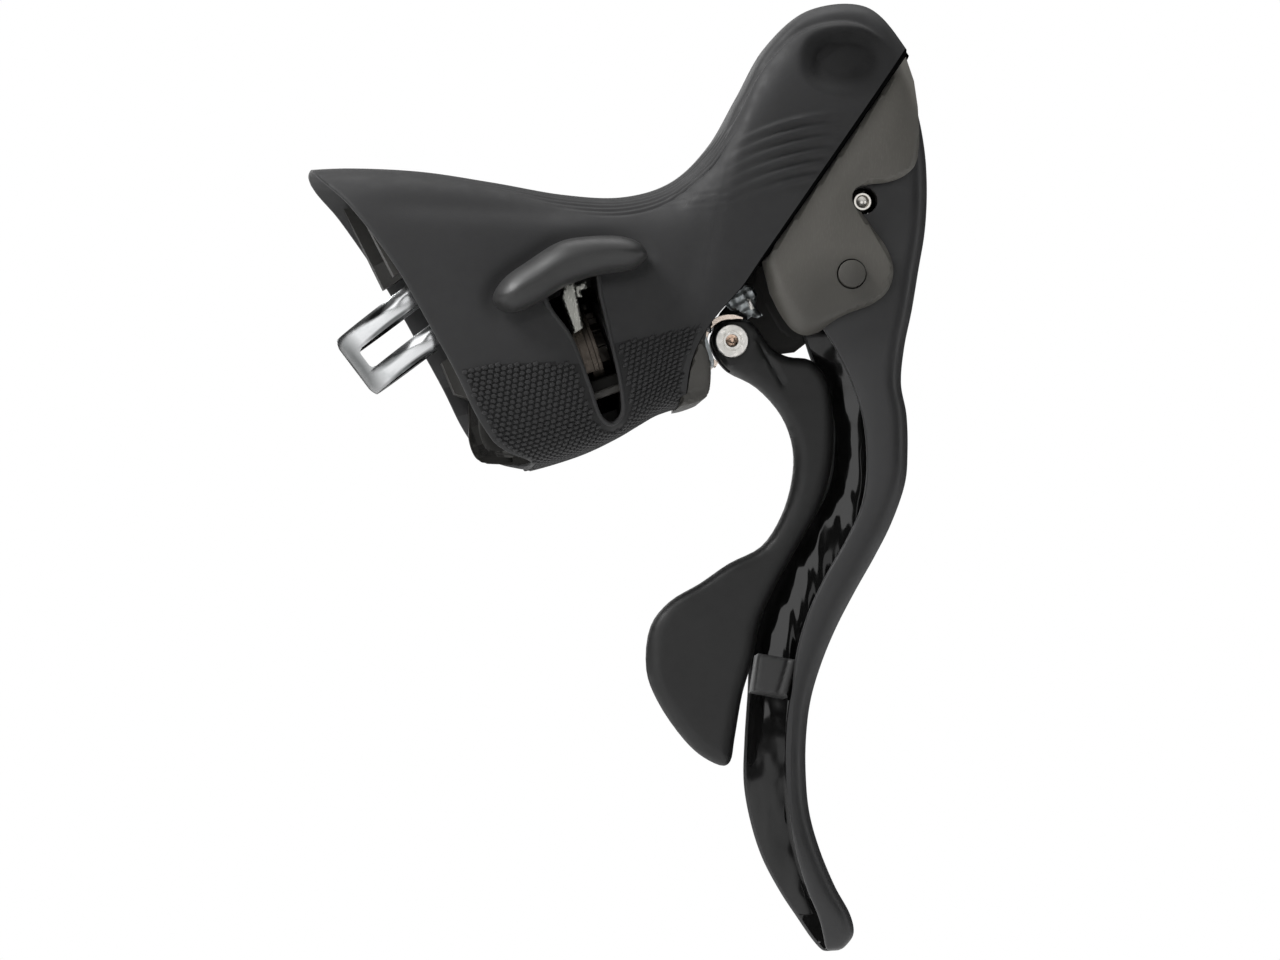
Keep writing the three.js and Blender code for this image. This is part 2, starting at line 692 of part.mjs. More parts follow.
function makeBlade() {
  const shell = loft(BLADE_ROWS.map(bladeSection));
  const boss = (at, radius) =>
    union(
      rod(at, radius, 7.4 - 3.2, 7.4, 20),
      rod(at, radius, -7.4, 3.2 - 7.4, 20),
    );
  const body = union(shell, boss(PIVOT, 6), boss(ANCHOR, 5), boss(RELEASE, 4.2));
  return cut(
    body,
    rod(PIVOT, PIVOT.bushRadius + GAP, -20, 20),
    rod(ANCHOR, ANCHOR.radius + GAP, -20, 20),
    rod(RELEASE, RELEASE.radius + GAP, -20, 20),
  );
}

const BUMPER_OUTLINE = [
  [62.9, -59.6],
  [70.0, -60.8],
  [68.2, -67.6],
  [61.9, -66.4],
];

function makeBrakeLever() {
  piece("brake_blade", BLADE_RESIN, makeBlade());
  const bore = rod(PIVOT, PIVOT.pinRadius + GAP, -20, 20);
  for (const [side, low, high] of [["inboard", -7.4, -4.2], ["outboard", 4.2, 7.4]])
    piece(`pivot_bush_${side}`, BUSH_PLASTIC, cut(rod(PIVOT, PIVOT.bushRadius, low, high), bore));
  piece("blade_bumper", BLACK_PLASTIC, pillow(BUMPER_OUTLINE, -3.2, 6.9, 0.4));
  const nippleSeat = new THREE.CylinderGeometry(2.1, 2.1, 12, 12).rotateZ(Math.PI / 2);
  const cableHole = new THREE.CylinderGeometry(0.9, 0.9, 30, 8).rotateZ(Math.PI / 2);
  piece(
    "cable_anchor",
    STEEL,
    cut(
      rod(ANCHOR, ANCHOR.radius, -7.2, 7.2, 18),
      solidOf(nippleSeat.translate(ANCHOR.x + 6.4, 0, ANCHOR.z)),
      solidOf(cableHole.translate(ANCHOR.x, 0, ANCHOR.z)),
    ),
  );
  const dimple = rod(RELEASE, 1.1, -12, -4.2, 12);
  piece("release_pin", ALLOY, cut(rod(RELEASE, RELEASE.radius, -5.2, 9.6, 18), dimple));
  piece("pivot_pin", COMPOSITE, rod(PIVOT, PIVOT.pinRadius, -12.6, 12.6));
  const coil = new Helix(PIVOT, 4.9, -3.0, 3.0, 3.25);
  piece("brake_return_spring", SPRING_STEEL, wire(coil, 0.6, 44));
}

// ------------------------------------------------------------------ upshift paddle
const PADDLE_OUTLINE = smooth(
  [
    [55.4, 0.0],
    [58.0, 1.2],
    [61.4, 0.8],
    [65.6, -4.0],
    [68.4, -5.4],
    [72.5, -6.0],
    [75.4, -9.2],
    [76.6, -15.0],
    [76.6, -24.0],
    [74.6, -32.0],
    [70.6, -39.4],
    [66.4, -46.8],
    [63.4, -53.4],
    [62.2, -59.6],
    [61.2, -63.2],
    [60.1, -67.0],
    [58.7, -75.0],
    [57.9, -79.2],
    [56.8, -80.0],
    [53.1, -78.5],
    [49.6, -75.4],
    [44.6, -68.2],
    [42.6, -62.6],
    [43.4, -54.6],
    [46.2, -50.0],
    [51.0, -46.6],
    [57.6, -43.2],
    [63.6, -40.0],
    [67.2, -34.6],
    [69.2, -28.0],
    [69.4, -22.0],
    [67.4, -16.2],
    [62.8, -11.0],
    [57.6, -8.0],
    [55.0, -4.6],
    [54.4, -2.2],
  ],
  1,
  true,
);
const TONGUE_HALF = 1.3; // half the thickness of the carrier's tongue, inside the paddle's fork

function makePaddle() {
  const arm = pillow(PADDLE_OUTLINE, -2.8, 2.8, 0.7);
  const ears = rod(PADDLE_PIN, PADDLE_PIN.bossRadius, -4.2, 4.2, 22);
  return cut(
    union(arm, ears),
    rod(PADDLE_PIN, 5.3, -TONGUE_HALF - GAP, TONGUE_HALF + GAP, 22),
    rod(PADDLE_PIN, PADDLE_PIN.radius + GAP, -20, 20, 16),
  );
}

/** The zinc carrier that the paddle folds on: a hub, a back plate, a tongue and a top finger. */
function makeCarrier() {
  const plate = shaftPlate(
    [
      [-4.4, 3.0],
      [-2.6, 4.6],
      [2.6, 4.6],
      [4.4, 3.0],
      [4.4, -9.6],
      [3.0, -10.6],
      [-3.0, -10.6],
      [-4.4, -9.6],
    ],
    18.1,
    18.9,
  );
  const tongue = shaftTongue([
    [18.5, 1.6],
    [24.6, 4.4],
    [29.0, 3.4],
    [30.4, -0.4],
    [30.8, -3.2],
    [29.9, -3.2],
    [28.6, -0.6],
    [27.0, 0.2],
    [25.8, -2.8],
    [26.4, -6.2],
    [24.6, -8.6],
    [21.6, -9.0],
    [18.5, -9.4],
  ]);
  return cut(
    union(plate, tongue),
    shaftRod(SHAFT.radius + GAP, 10, 21.4),
    shaftRod(3.8, 19.3, 21.4),
    pinHole(),
  );
}

/** A plate in the XZ plane about Y = 0, from [u, v] points, in the shaft frame. */
function shaftTongue(outline) {
  const shape = new THREE.Shape(outline.map(([u, v]) => new THREE.Vector2(u, v)));
  const depth = 2 * TONGUE_HALF;
  const body = new THREE.ExtrudeGeometry(shape, { depth, bevelEnabled: false });
  return solidOf(body.rotateX(Math.PI / 2).translate(0, TONGUE_HALF, 0));
}

/** The paddle pin's hole, in the shaft frame. */
function pinHole() {
  const [dx, dz] = [PADDLE_PIN.x - SHAFT.x, PADDLE_PIN.z - SHAFT.z];
  const u = dx * Math.cos(SHAFT.lean) + dz * Math.sin(SHAFT.lean);
  const v = dz * Math.cos(SHAFT.lean) - dx * Math.sin(SHAFT.lean);
  return rod({ x: u, z: v }, PADDLE_PIN.radius + GAP, -20, 20, 16);
}

function makeShiftPaddle() {
  piece("upshift_paddle", BLACK_PLASTIC, makePaddle());
  piece("shift_carrier", ZINC, makeCarrier(), shaftFrame);
  const head = union(
    rod(PADDLE_PIN, 3.0, -5.3, -4.5, 24),
    rod(PADDLE_PIN, PADDLE_PIN.radius, -5.2, 7.0, 16),
  );
  piece("paddle_screw", STEEL, cut(head, rod(PADDLE_PIN, 1.1, -8, -4.6, 6)));
  const nut = cut(rod(PADDLE_PIN, 2.5, 6.2, 7.2, 6), rod(PADDLE_PIN, 1.5 + GAP, 0, 20, 16));
  piece("paddle_screw_nut", STEEL, nut);
  const coil = new Helix(PADDLE_PIN, 2.6, 4.8, 5.75, 1.9);
  piece("paddle_return_spring", SPRING_STEEL, wire(coil, 0.2, 26));
}

// ------------------------------------------------------------------ shift mechanism
/** A toothed outline in [y, v]: ratchet teeth if `rake` is near 1, rounded ones if it is 0.5. */
function toothed(teeth, root, tip, rake) {
  const points = [];
  for (let i = 0; i < teeth; i += 1) {
    const at = (share) => ((i + share) / teeth) * 2 * Math.PI;
    for (const [share, radius] of [[0, root], [rake, tip], [Math.min(rake + 0.12, 0.97), tip]])
      points.push([radius * Math.cos(at(share)), radius * Math.sin(at(share))]);
  }
  return points;
}

const THUMB_LEVER = { uLow: -3.4, uHigh: -1.3, ringRadius: 10.2 };
const THUMB_ARM = [
  [-5.0, -2.0],
  [-10.0, -1.6],
  [-14.6, 3.4],
  [-16.0, 7.4],
  [-20.6, 10.6],
  [-19.2, 13.6],
  [-14.4, 11.2],
  [-11.0, 8.0],
  [-5.0, 8.6],
];
const PAWL_PIVOT = { y: 5.2, v: 6.8, radius: 0.9 };

const THUMB_PAWL = [
  [7.2, 5.4],
  [7.4, 7.6],
  [5.8, 9.2],
  [3.4, 8.9],
  [-1.6, 8.6],
  [-2.4, 7.5],
  [-1.4, 7.45],
  [3.0, 7.4],
  [4.8, 5.8],
];

const shaftBored = () => shaftRod(SHAFT.radius + GAP, -40, 40);
const pawlBore = () =>
  shaftRod(PAWL_PIVOT.radius + GAP, -10, 10, PAWL_PIVOT.y, PAWL_PIVOT.v, 12);

function makeThumbArm() {
  const { uLow, uHigh, ringRadius } = THUMB_LEVER;
  const arm = shaftPlate(THUMB_ARM, uLow, uHigh);
  const eye = ring(ringRadius, SHAFT.radius + GAP, uLow, uHigh);
  return cut(union(arm, eye), shaftBored(), pawlBore());
}

function makeThumbPad() {
  const outline = smooth(
    [
      [13.2, 3.5],
      [14.9, 6.6],
      [19.7, 10.2],
      [25.0, 13.5],
      [29.8, 14.5],
      [36.8, 14.5],
      [39.9, 13.2],
      [41.0, 11.2],
      [39.1, 9.2],
      [32.3, 7.8],
      [26.8, 5.9],
      [21.4, 2.6],
      [16.8, 0.8],
      [13.9, 1.8],
    ],
    2,
    true,
  );
  const block = pillow(outline, -25.5, -8, 1.4);
  const { uLow, uHigh } = THUMB_LEVER;
  const socket = shaftPlate(grown(THUMB_ARM, GAP), uLow - GAP, uHigh + GAP);
  return cut(block, hoodForm(-0.6), solidOf(onShaft(geometryOf(socket))));
}

/** An outline pushed outwards from its own centre by about `by`. */
function grown(outline, by) {
  const middle = [0, 1].map((k) => outline.reduce((sum, p) => sum + p[k], 0) / outline.length);
  return outline.map((p) => {
    const away = [p[0] - middle[0], p[1] - middle[1]];
    const reach = 1 + (1.6 * by) / Math.hypot(...away);
    return [middle[0] + away[0] * reach, middle[1] + away[1] * reach];
  });
}

function makeMechanism() {
  const bored = SHAFT.radius + GAP;
  piece("shift_shaft", STEEL, ring(SHAFT.radius, 0.6, -10.2, 21.0, 18), shaftFrame);
  piece("shaft_circlip", SPRING_STEEL, ring(3.4, bored, 19.7, 20.5, 18), shaftFrame);
  piece("rear_bearing", STEEL, ring(4.9, bored, -10.3, -8.7, 20), shaftFrame);
  piece("front_bearing", STEEL, ring(5.1, bored, 15.6, 17.2, 20), shaftFrame);
  const support = turned([
    [3.7, 17.4],
    [5.5, 17.4],
    [5.5, 15.4],
    [11.0, 15.4],
    [11.0, 17.8],
    [3.7, 17.8],
  ], 28);
  piece("mechanism_support", ZINC, support, shaftFrame);

  piece("thumb_lever_arm", STEEL, makeThumbArm(), shaftFrame);
  piece("thumb_lever_pad", BLACK_PLASTIC, makeThumbPad());
  const pawlPin = shaftRod(PAWL_PIVOT.radius, -3.7, 1.0, PAWL_PIVOT.y, PAWL_PIVOT.v, 12);
  piece("pawl_pin", STEEL, pawlPin, shaftFrame);
  piece("thumb_pawl", STEEL, cut(shaftPlate(THUMB_PAWL, -1.0, 0.8), pawlBore()), shaftFrame);
  const thumbCoil = new Helix(null, 5.4, -7.4, -5.0, 2.75, "x");
  piece("thumb_return_spring", SPRING_STEEL, wire(thumbCoil, 0.4, 36), shaftFrame);

  const ratchet = cut(shaftPlate(toothed(14, 5.8, 6.9, 0.85), -1.0, 0.8), shaftBored());
  piece("drum_ratchet", STEEL, ratchet, shaftFrame);
  const drum = turned([
    [bored, 1.2],
    [9.0, 1.2],
    [9.0, 2.4],
    [7.4, 3.2],
    [7.4, 5.4],
    [9.0, 6.2],
    [9.0, 7.2],
    [bored, 7.2],
  ]);
  const anchorHole = new THREE.CylinderGeometry(1.1, 1.1, 6, 10).translate(4.3, 8.4, 0);
  piece("cable_drum", BLACK_PLASTIC, cut(drum, solidOf(anchorHole)), shaftFrame);
  const gear = cut(shaftPlate(toothed(16, 9.4, 10.5, 0.44), 7.6, 9.6), shaftBored());
  piece("index_gear", STEEL, gear, shaftFrame);
  piece("index_spring_carrier", BUSH_PLASTIC, ring(10.6, bored, 12.6, 13.8, 26), shaftFrame);
  for (const [name, from] of [["upper", 20], ["lower", 200]]) {
    const arc = new THREE.CatmullRomCurve3(
      [0, 35, 70, 105, 140].map((turn, i) => {
        const radius = [6.6, 8.4, 9.0, 8.4, 6.6][i];
        const a = (from + turn) * DEG;
        return new THREE.Vector3(11.3, radius * Math.cos(a), radius * Math.sin(a));
      }),
    );
    piece(`index_spring_${name}`, SPRING_STEEL, wire(arc, 0.7, 16), shaftFrame);
  }
  const returnArc = new THREE.EllipseCurve(0, 0, 7.6, 7.6, 0.3, 5.6);
  const returnPoints = returnArc.getPoints(12).map((p) => new THREE.Vector3(14.6, p.x, p.y));
  const returnWire = wire(new THREE.CatmullRomCurve3(returnPoints), 0.3, 22);
  piece("upshift_return_spring", SPRING_STEEL, returnWire, shaftFrame);
}

// ------------------------------------------------------------------ assembly
piece("lever_housing", COMPOSITE, makeHousing());
piece("rubber_hood", RUBBER, makeHood());
piece("brake_housing_stop", ALLOY, makeStop(STOP.y));
piece("shift_housing_stop", ALLOY, makeStop(-STOP.y));
makeClamp();
makeBrakeLever();
makeShiftPaddle();
makeMechanism();

export default group;
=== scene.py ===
import math

import bmesh
import bpy
import numpy as np
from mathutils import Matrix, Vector
from mathutils.geometry import delaunay_2d_cdt


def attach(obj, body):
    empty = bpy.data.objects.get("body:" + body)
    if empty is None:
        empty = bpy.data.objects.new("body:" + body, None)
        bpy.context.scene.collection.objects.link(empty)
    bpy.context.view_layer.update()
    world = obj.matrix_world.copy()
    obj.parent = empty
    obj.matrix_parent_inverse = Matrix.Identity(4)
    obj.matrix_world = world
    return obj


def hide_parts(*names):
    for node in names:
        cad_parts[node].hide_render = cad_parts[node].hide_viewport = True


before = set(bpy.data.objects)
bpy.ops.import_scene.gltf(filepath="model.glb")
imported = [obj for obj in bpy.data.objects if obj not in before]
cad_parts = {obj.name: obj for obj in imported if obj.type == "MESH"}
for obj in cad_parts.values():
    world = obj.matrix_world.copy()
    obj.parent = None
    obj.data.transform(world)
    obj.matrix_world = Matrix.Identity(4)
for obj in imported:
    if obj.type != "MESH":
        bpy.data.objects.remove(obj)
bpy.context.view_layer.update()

MM = 0.001

# ------------------------------------------------------------------ driving dimensions, as in the CAD
BAR = {"radius": 12.2, "lean": math.radians(37.4), "upper_bend": 40.0, "lower_bend": 75.0}
PIVOT = (79.0, 8.9)
RELEASE = (81.7, 22.7)
ANCHOR = (76.6, 17.8)
PADDLE_PIN = (57.8, -2.9)
SHAFT = {"x": 34.0, "z": -4.2, "lean": math.radians(18.2)}
STOP = {"x": 1.0, "z": 20.8, "lean": math.radians(29.5)}
HOOD_WALL = 1.8
CORE_INSET = 2.1
FACE_INSET = 0.25
CHEEK_SLOT = 7.9

# Each row is one section of the hood: its top [x, z], its bottom [x, z] and its half width.
HOOD_ROWS = [
    [-22.4, 27.6, 12.0, -28.8, 18.0],
    [-12.0, 28.2, 15.6, -26.9, 18.2],
    [1.0, 27.7, 20.0, -26.2, 18.0],
    [14.0, 25.9, 26.0, -24.6, 17.4],
    [27.0, 23.8, 32.0, -22.5, 16.6],
    [38.0, 23.4, 37.5, -19.8, 15.9],
    [47.0, 26.3, 41.5, -17.4, 15.5],
    [54.0, 33.2, 44.2, -15.8, 15.2],
    [59.3, 42.4, 46.2, -15.0, 15.2],
    [64.4, 51.4, 48.2, -14.4, 15.2],
    [72.2, 58.0, 50.6, -14.0, 14.8],
    [82.8, 58.7, 53.6, -13.6, 14.0],
    [90.0, 51.2, 57.0, -13.2, 13.0],
    [94.6, 42.0, 62.0, -12.6, 12.2],
    [98.0, 32.0, 70.0, -12.0, 11.6],
    [101.0, 22.0, 80.0, -12.0, 11.2],
    [104.0, 12.0, 90.0, -12.0, 11.0],
]
TOP_SQUARENESS = 2.9
BOTTOM_SQUARENESS = 4.4


# ------------------------------------------------------------------ curves
def catmull(rows, t):
    """Rows of numbers joined by a smooth curve: the values at t, from 0 at the first row to 1."""
    rows = np.asarray(rows, float)
    at = np.clip(np.asarray(t, float), 0, 1 - 1e-9) * (len(rows) - 1)
    i = np.floor(at).astype(int)
    f = (at - i)[:, None]
    p, q, r, s = (rows[np.clip(i + k, 0, len(rows) - 1)] for k in (-1, 0, 1, 2))
    bend = 2 * p - 5 * q + 4 * r - s
    return q + 0.5 * f * (r - p + f * (bend + f * (3 * (q - r) + s - p)))


def smooth_line(points, per_span=6, closed=False):
    """A centripetal curve through points, with per_span steps between neighbours."""
    p = np.asarray(points, float)
    if closed:
        knots = np.vstack([p[-1], p, p[0], p[1]])
    else:
        knots = np.vstack([2 * p[0] - p[1], p, 2 * p[-1] - p[-2]])
    found = []
    for a, b, c, d in zip(knots, knots[1:], knots[2:], knots[3:]):
        t = np.cumsum([0] + [max(np.linalg.norm(v), 1e-9) ** 0.5 for v in (b - a, c - b, d - c)])
        for u in np.linspace(t[1], t[2], per_span, endpoint=False):
            ab = ((t[1] - u) * a + (u - t[0]) * b) / (t[1] - t[0])
            bc = ((t[2] - u) * b + (u - t[1]) * c) / (t[2] - t[1])
            cd = ((t[3] - u) * c + (u - t[2]) * d) / (t[3] - t[2])
            abc = ((t[2] - u) * ab + (u - t[0]) * bc) / (t[2] - t[0])
            bcd = ((t[3] - u) * bc + (u - t[1]) * cd) / (t[3] - t[1])
            found.append(((t[2] - u) * abc + (u - t[1]) * bcd) / (t[2] - t[1]))
    if not closed:
        found.append(p[-1])
    return np.array(found)


def evenly(points, step, closed=True):
    """The same line with points about `step` apart, its corners kept close."""
    p = np.asarray(points, float)
    if closed:
        p = np.vstack([p, p[0]])
    found = []
    for a, b in zip(p, p[1:]):
        count = max(1, int(round(np.linalg.norm(b - a) / step)))
        found += [a + (b - a) * k / count for k in range(count)]
    if not closed:
        found.append(p[-1])
    kept = [found[0]]
    for q in found[1:]:
        if np.linalg.norm(q - kept[-1]) > 0.4 * step:
            kept.append(q)
    return np.array(kept)


def off_line(points, line, closed=True):
    """How far each point lies from a line of points."""
    a = np.asarray(line, float)
    b = np.roll(a, -1, 0) if closed else a[1:]
    a = a if closed else a[:-1]
    best = np.full(len(points), 1e9)
    for p, q in zip(a, b):
        way = q - p
        t = np.clip(((points - p) @ way) / max(way @ way, 1e-12), 0, 1)
        best = np.minimum(best, np.linalg.norm(points - p - t[:, None] * way, axis=1))
    return best


def inside(points, outline):
    """True for each point inside a closed outline."""
    x, z = points[:, 0], points[:, 1]
    found = np.zeros(len(points), bool)
    for (xa, za), (xb, zb) in zip(outline, np.roll(outline, -1, 0)):
        crosses = (za > z) != (zb > z)
        at = xa + (z - za) / (zb - za if abs(zb - za) > 1e-12 else 1e-12) * (xb - xa)
        found ^= crosses & (x < at)
    return found


def step_up(value, low, high):
    """0 below low, 1 above high, and smooth between."""
    t = np.clip((value - low) / (high - low), 0, 1)
    return t * t * (3 - 2 * t)


def bell(value, centre, width):
    return np.exp(-(((value - centre) / width) ** 2))


def round_over(distance, radius):
    """How far a surface drops at this distance from an edge that is rounded to `radius`."""
    short = np.clip(radius - distance, 0, radius)
    return radius - np.sqrt(np.maximum(radius**2 - short**2, 0))


# ------------------------------------------------------------------ the hood's form
def form_points(s, a, inset=0.0):
    """Points of the hood's form at shares s along it and turns a round it, and how far each lies
    below the section's top."""
    rows = catmull(HOOD_ROWS, s.ravel()).reshape(*s.shape, 5)
    top, low = rows[..., 0:2], rows[..., 2:4]
    span = np.linalg.norm(top - low, axis=-1)
    up = (top - low) / span[..., None]
    height = span / 2 - inset
    power = 2 / np.where(np.cos(a) > 0, TOP_SQUARENESS, BOTTOM_SQUARENESS)
    rise = height * np.sign(np.cos(a)) * np.abs(np.cos(a)) ** power
    y = (rows[..., 4] - inset) * np.sign(np.sin(a)) * np.abs(np.sin(a)) ** power
    middle = (top + low) / 2 + rise[..., None] * up
    return np.stack([middle[..., 0], y, middle[..., 1]], -1), height - rise


FORM_SAMPLES = catmull(HOOD_ROWS, np.linspace(0, 1, 900))


def form_half(points, inset=0.0):
    """Half the form's width at each [x, z] point, or 0 outside it."""
    rows = FORM_SAMPLES
    top, low = rows[:, 0:2], rows[:, 2:4]
    way = top - low
    found = np.zeros(len(points))
    for k, p in enumerate(np.asarray(points, float)):
        side = way[:, 0] * (p[1] - low[:, 1]) - way[:, 1] * (p[0] - low[:, 0])
        turn = np.nonzero(np.sign(side[1:]) != np.sign(side[:-1]))[0]
        if not len(turn):
            continue
        i = turn[0]
        f = side[i] / (side[i] - side[i + 1])
        row = rows[i] * (1 - f) + rows[i + 1] * f
        span = np.hypot(row[0] - row[2], row[1] - row[3])
        height, half = span / 2 - inset, row[4] - inset
        rise = ((p - (row[0:2] + row[2:4]) / 2) @ (row[0:2] - row[2:4])) / span
        squareness = TOP_SQUARENESS if rise > 0 else BOTTOM_SQUARENESS
        share = min(abs(rise) / height, 1)
        found[k] = half * (1 - share**squareness) ** (1 / squareness)
    return found


# The hood's rear edge and front edge from the top down, as [x, z] points.
REAR_EDGE = smooth_line(
    [
        [-20.6, 36.0], [-19.0, 31.0], [-18.6, 27.4], [-12.6, 20.8], [-3.9, 8.8], [1.6, -0.7],
        [7.1, -10.6], [10.2, -17.0], [12.4, -20.6], [14.2, -22.8], [17.0, -24.4], [20.4, -25.4],
        [24.0, -27.0], [25.0, -32.0],
    ]
)
FRONT_EDGE = np.vstack(
    [
        [[100.0, 65.0], [94.4, 57.0]],
        evenly([[94.4, 57.0], [62.5, 11.5]], 1.0, closed=False),
        smooth_line([[59.1, 6.4], [53.6, 0.2], [50.6, -4.8], [49.3, -9.0], [48.9, -18.0]]),
    ]
)
THUMB_SLOT = smooth_line(
    [
        [22.7, 7.4], [23.1, 2.8], [27.4, -3.5], [30.7, -11.8], [33.1, -17.8], [35.1, -18.8],
        [37.0, -17.2], [36.8, -12.4], [34.7, -3.0], [33.1, 3.8], [31.5, 10.2], [26.7, 9.8],
    ],
    closed=True,
)


def ahead_of(edge, x, z):
    """How far a point lies forwards of an edge that runs downwards."""
    order = np.argsort(edge[:, 1])
    return x - np.interp(z, edge[order, 1], edge[order, 0])


# ------------------------------------------------------------------ meshes
def shade(piece, sharp=38):
    """Smooth shading, but with the edges sharper than `sharp` degrees kept crisp."""
    mesh = piece.data
    mesh.polygons.foreach_set("use_smooth", [True] * len(mesh.polygons))
    mesh.set_sharp_from_angle(angle=math.radians(sharp))
    mesh.update()
    return piece


def outwards(mesh):
    """Turns every face of a closed mesh to face outwards."""
    work = bmesh.new()
    work.from_mesh(mesh)
    bmesh.ops.recalc_face_normals(work, faces=work.faces)
    work.to_mesh(mesh)
    work.free()


def make(name, points, faces, looks, slots=None, sharp=38):
    """A piece from points in millimetres, faces and its materials."""
    mesh = bpy.data.meshes.new(name)
    mesh.from_pydata((np.asarray(points, float) * MM).tolist(), [], [list(map(int, f)) for f in faces])
    for one in looks:
        mesh.materials.append(one)
    if slots is not None:
        mesh.polygons.foreach_set("material_index", list(map(int, slots)))
    outwards(mesh)
    piece = bpy.data.objects.new(name, mesh)
    bpy.context.scene.collection.objects.link(piece)
    return shade(piece, sharp)


def grid_faces(rows, columns, wrap_rows=False):
    """Quads between neighbouring rings of points, each of `columns` points."""
    i = np.arange(rows if wrap_rows else rows - 1)[:, None] * columns
    j = np.arange(columns)[None, :]
    below, beside = (i + columns) % (rows * columns), (j + 1) % columns
    return np.stack([i + j, i + beside, below + beside, below + j], -1).reshape(-1, 4).tolist()


def lofted(name, rings, looks, slots=None, sharp=38):
    """A closed solid through rings of points: slots gives the material of each step round a ring."""
    rings = np.asarray(rings, float)
    rows, columns = rings.shape[:2]
    faces = grid_faces(rows, columns)
    faces += [list(range(columns)), list(range((rows - 1) * columns, rows * columns))]
    picked = None if slots is None else list(slots) * (rows - 1) + [0, 0]
    return make(name, rings.reshape(-1, 3), faces, looks, picked, sharp)


def relief(name, outline, front, back, looks, step=0.8):
    """A closed plate over an outline: front and back give each face's y over [x, z] points.
    A second material goes on the back and the walls."""
    edge = evenly(outline, step)
    low, high = edge.min(0), edge.max(0)
    rise = step * math.sqrt(3) / 2
    inner = [
        [x + (step / 2 if k % 2 else 0), z]
        for k, z in enumerate(np.arange(low[1], high[1], rise))
        for x in np.arange(low[0], high[0], step)
    ]
    inner = np.array(inner)
    inner = inner[inside(inner, edge)]
    inner = inner[off_line(inner, edge) > 0.5 * step]
    flat = [Vector(p) for p in np.vstack([edge, inner])]
    count = len(edge)
    loop = [(k, (k + 1) % count) for k in range(count)]
    spots, _, cells, came_from, _, _ = delaunay_2d_cdt(flat, loop, [], 1, 1e-5)
    spots = np.array([tuple(p) for p in spots])
    place = {old: new for new, olds in enumerate(came_from) for old in olds}
    rim = [place[k] for k in range(count)]
    number = len(spots)
    faces = [list(c) for c in cells] + [[k + number for k in reversed(c)] for c in cells]
    faces += [[rim[k], rim[k - 1], rim[k - 1] + number, rim[k] + number] for k in range(count)]
    distance = off_line(spots, edge)
    near = np.stack([spots[:, 0], front(spots, distance), spots[:, 1]], -1)
    far = np.stack([spots[:, 0], back(spots, distance), spots[:, 1]], -1)
    slots = None if len(looks) == 1 else [0] * len(cells) + [1] * (len(cells) + count)
    return make(name, np.vstack([near, far]), faces, looks, slots)


def mirrored(name, outline, half, look, step):
    """A closed plate over an outline, the same to each side: half gives its half width."""
    return relief(name, outline, lambda p, distance: -half(p, distance), half, [look], step)


def plate(name, outline, y_near, y_far, look, edge, far_edge=0.0, step=0.3):
    """A flat plate over an outline, its near and far edges rounded by `edge` and `far_edge`."""

    def near(p, distance):
        return y_near + round_over(distance, edge)

    def far(p, distance):
        return y_far - round_over(distance, far_edge)

    return relief(name, outline, near, far, [look], step)


def slab(outline, y_low, y_high):
    """A side-view outline of [x, z] points, extruded from y_low to y_high."""
    return lofted("cutter", [[[x, y, z] for x, z in outline] for y in (y_low, y_high)], [])


def round_turns(count):
    """Evenly spaced angles for one full turn."""
    return np.arange(count) / count * 2 * math.pi


def turned(profile, centre, axis, sides=40, name="cutter", looks=(), sharp=38):
    """A solid of revolution: profile is [radius, height] along the axis, from one end face to
    the other."""
    axis = np.asarray(axis, float) / np.linalg.norm(axis)
    side = np.cross(axis, [0.0, 1.0, 0.0] if abs(axis[1]) < 0.9 else [1.0, 0.0, 0.0])
    side /= np.linalg.norm(side)
    other = np.cross(axis, side)
    turn = round_turns(sides)
    spokes = np.cos(turn)[:, None] * side + np.sin(turn)[:, None] * other
    rings = [np.asarray(centre, float) + h * axis + r * spokes for r, h in profile]
    return lofted(name, rings, looks, sharp=sharp)


def rod(at, radius, y_low, y_high, sides=40):
    """A rod along Y, to cut with or to join on. One that cuts right through runs well past."""
    return turned([[radius, y_low], [radius, y_high]], [at[0], 0, at[1]], [0, 1, 0], sides)


def bead_points(path, radius, sides):
    """Rings of points round a closed path."""
    way = np.roll(path, -1, 0) - np.roll(path, 1, 0)
    way /= np.linalg.norm(way, axis=1)[:, None]
    side = np.cross(way, [0.0, 1.0, 0.0])
    side /= np.linalg.norm(side, axis=1)[:, None]
    other = np.cross(side, way)
    turn = round_turns(sides)[None, :, None]
    return path[:, None] + radius * (np.cos(turn) * side[:, None] + np.sin(turn) * other[:, None])


def applied(piece):
    """Bakes a piece's modifiers into its mesh."""
    seen = bpy.context.evaluated_depsgraph_get()
    mesh = bpy.data.meshes.new_from_object(piece.evaluated_get(seen), depsgraph=seen)
    piece.modifiers.clear()
    piece.data = mesh
    return piece


def combine(piece, others, how, sharp=38):
    """Cuts, joins or intersects a closed piece with others, which are used up."""
    for other in others:
        step = piece.modifiers.new("combine", "BOOLEAN")
        step.operation = how
        step.solver = "MANIFOLD"
        step.object = other
        applied(piece)
        bpy.data.objects.remove(other)
    return shade(piece, sharp)


def cut(piece, *others, sharp=38):
    return combine(piece, others, "DIFFERENCE", sharp)


def joined(piece, *others, sharp=38):
    return combine(piece, others, "UNION", sharp)


def merged(piece, *others):
    """Puts other pieces' meshes into this piece without cutting, and keeps their shading."""
    both = [piece, *others]
    with bpy.context.temp_override(
        active_object=piece, selected_editable_objects=both, selected_objects=both
    ):
        bpy.ops.object.join()
    return piece


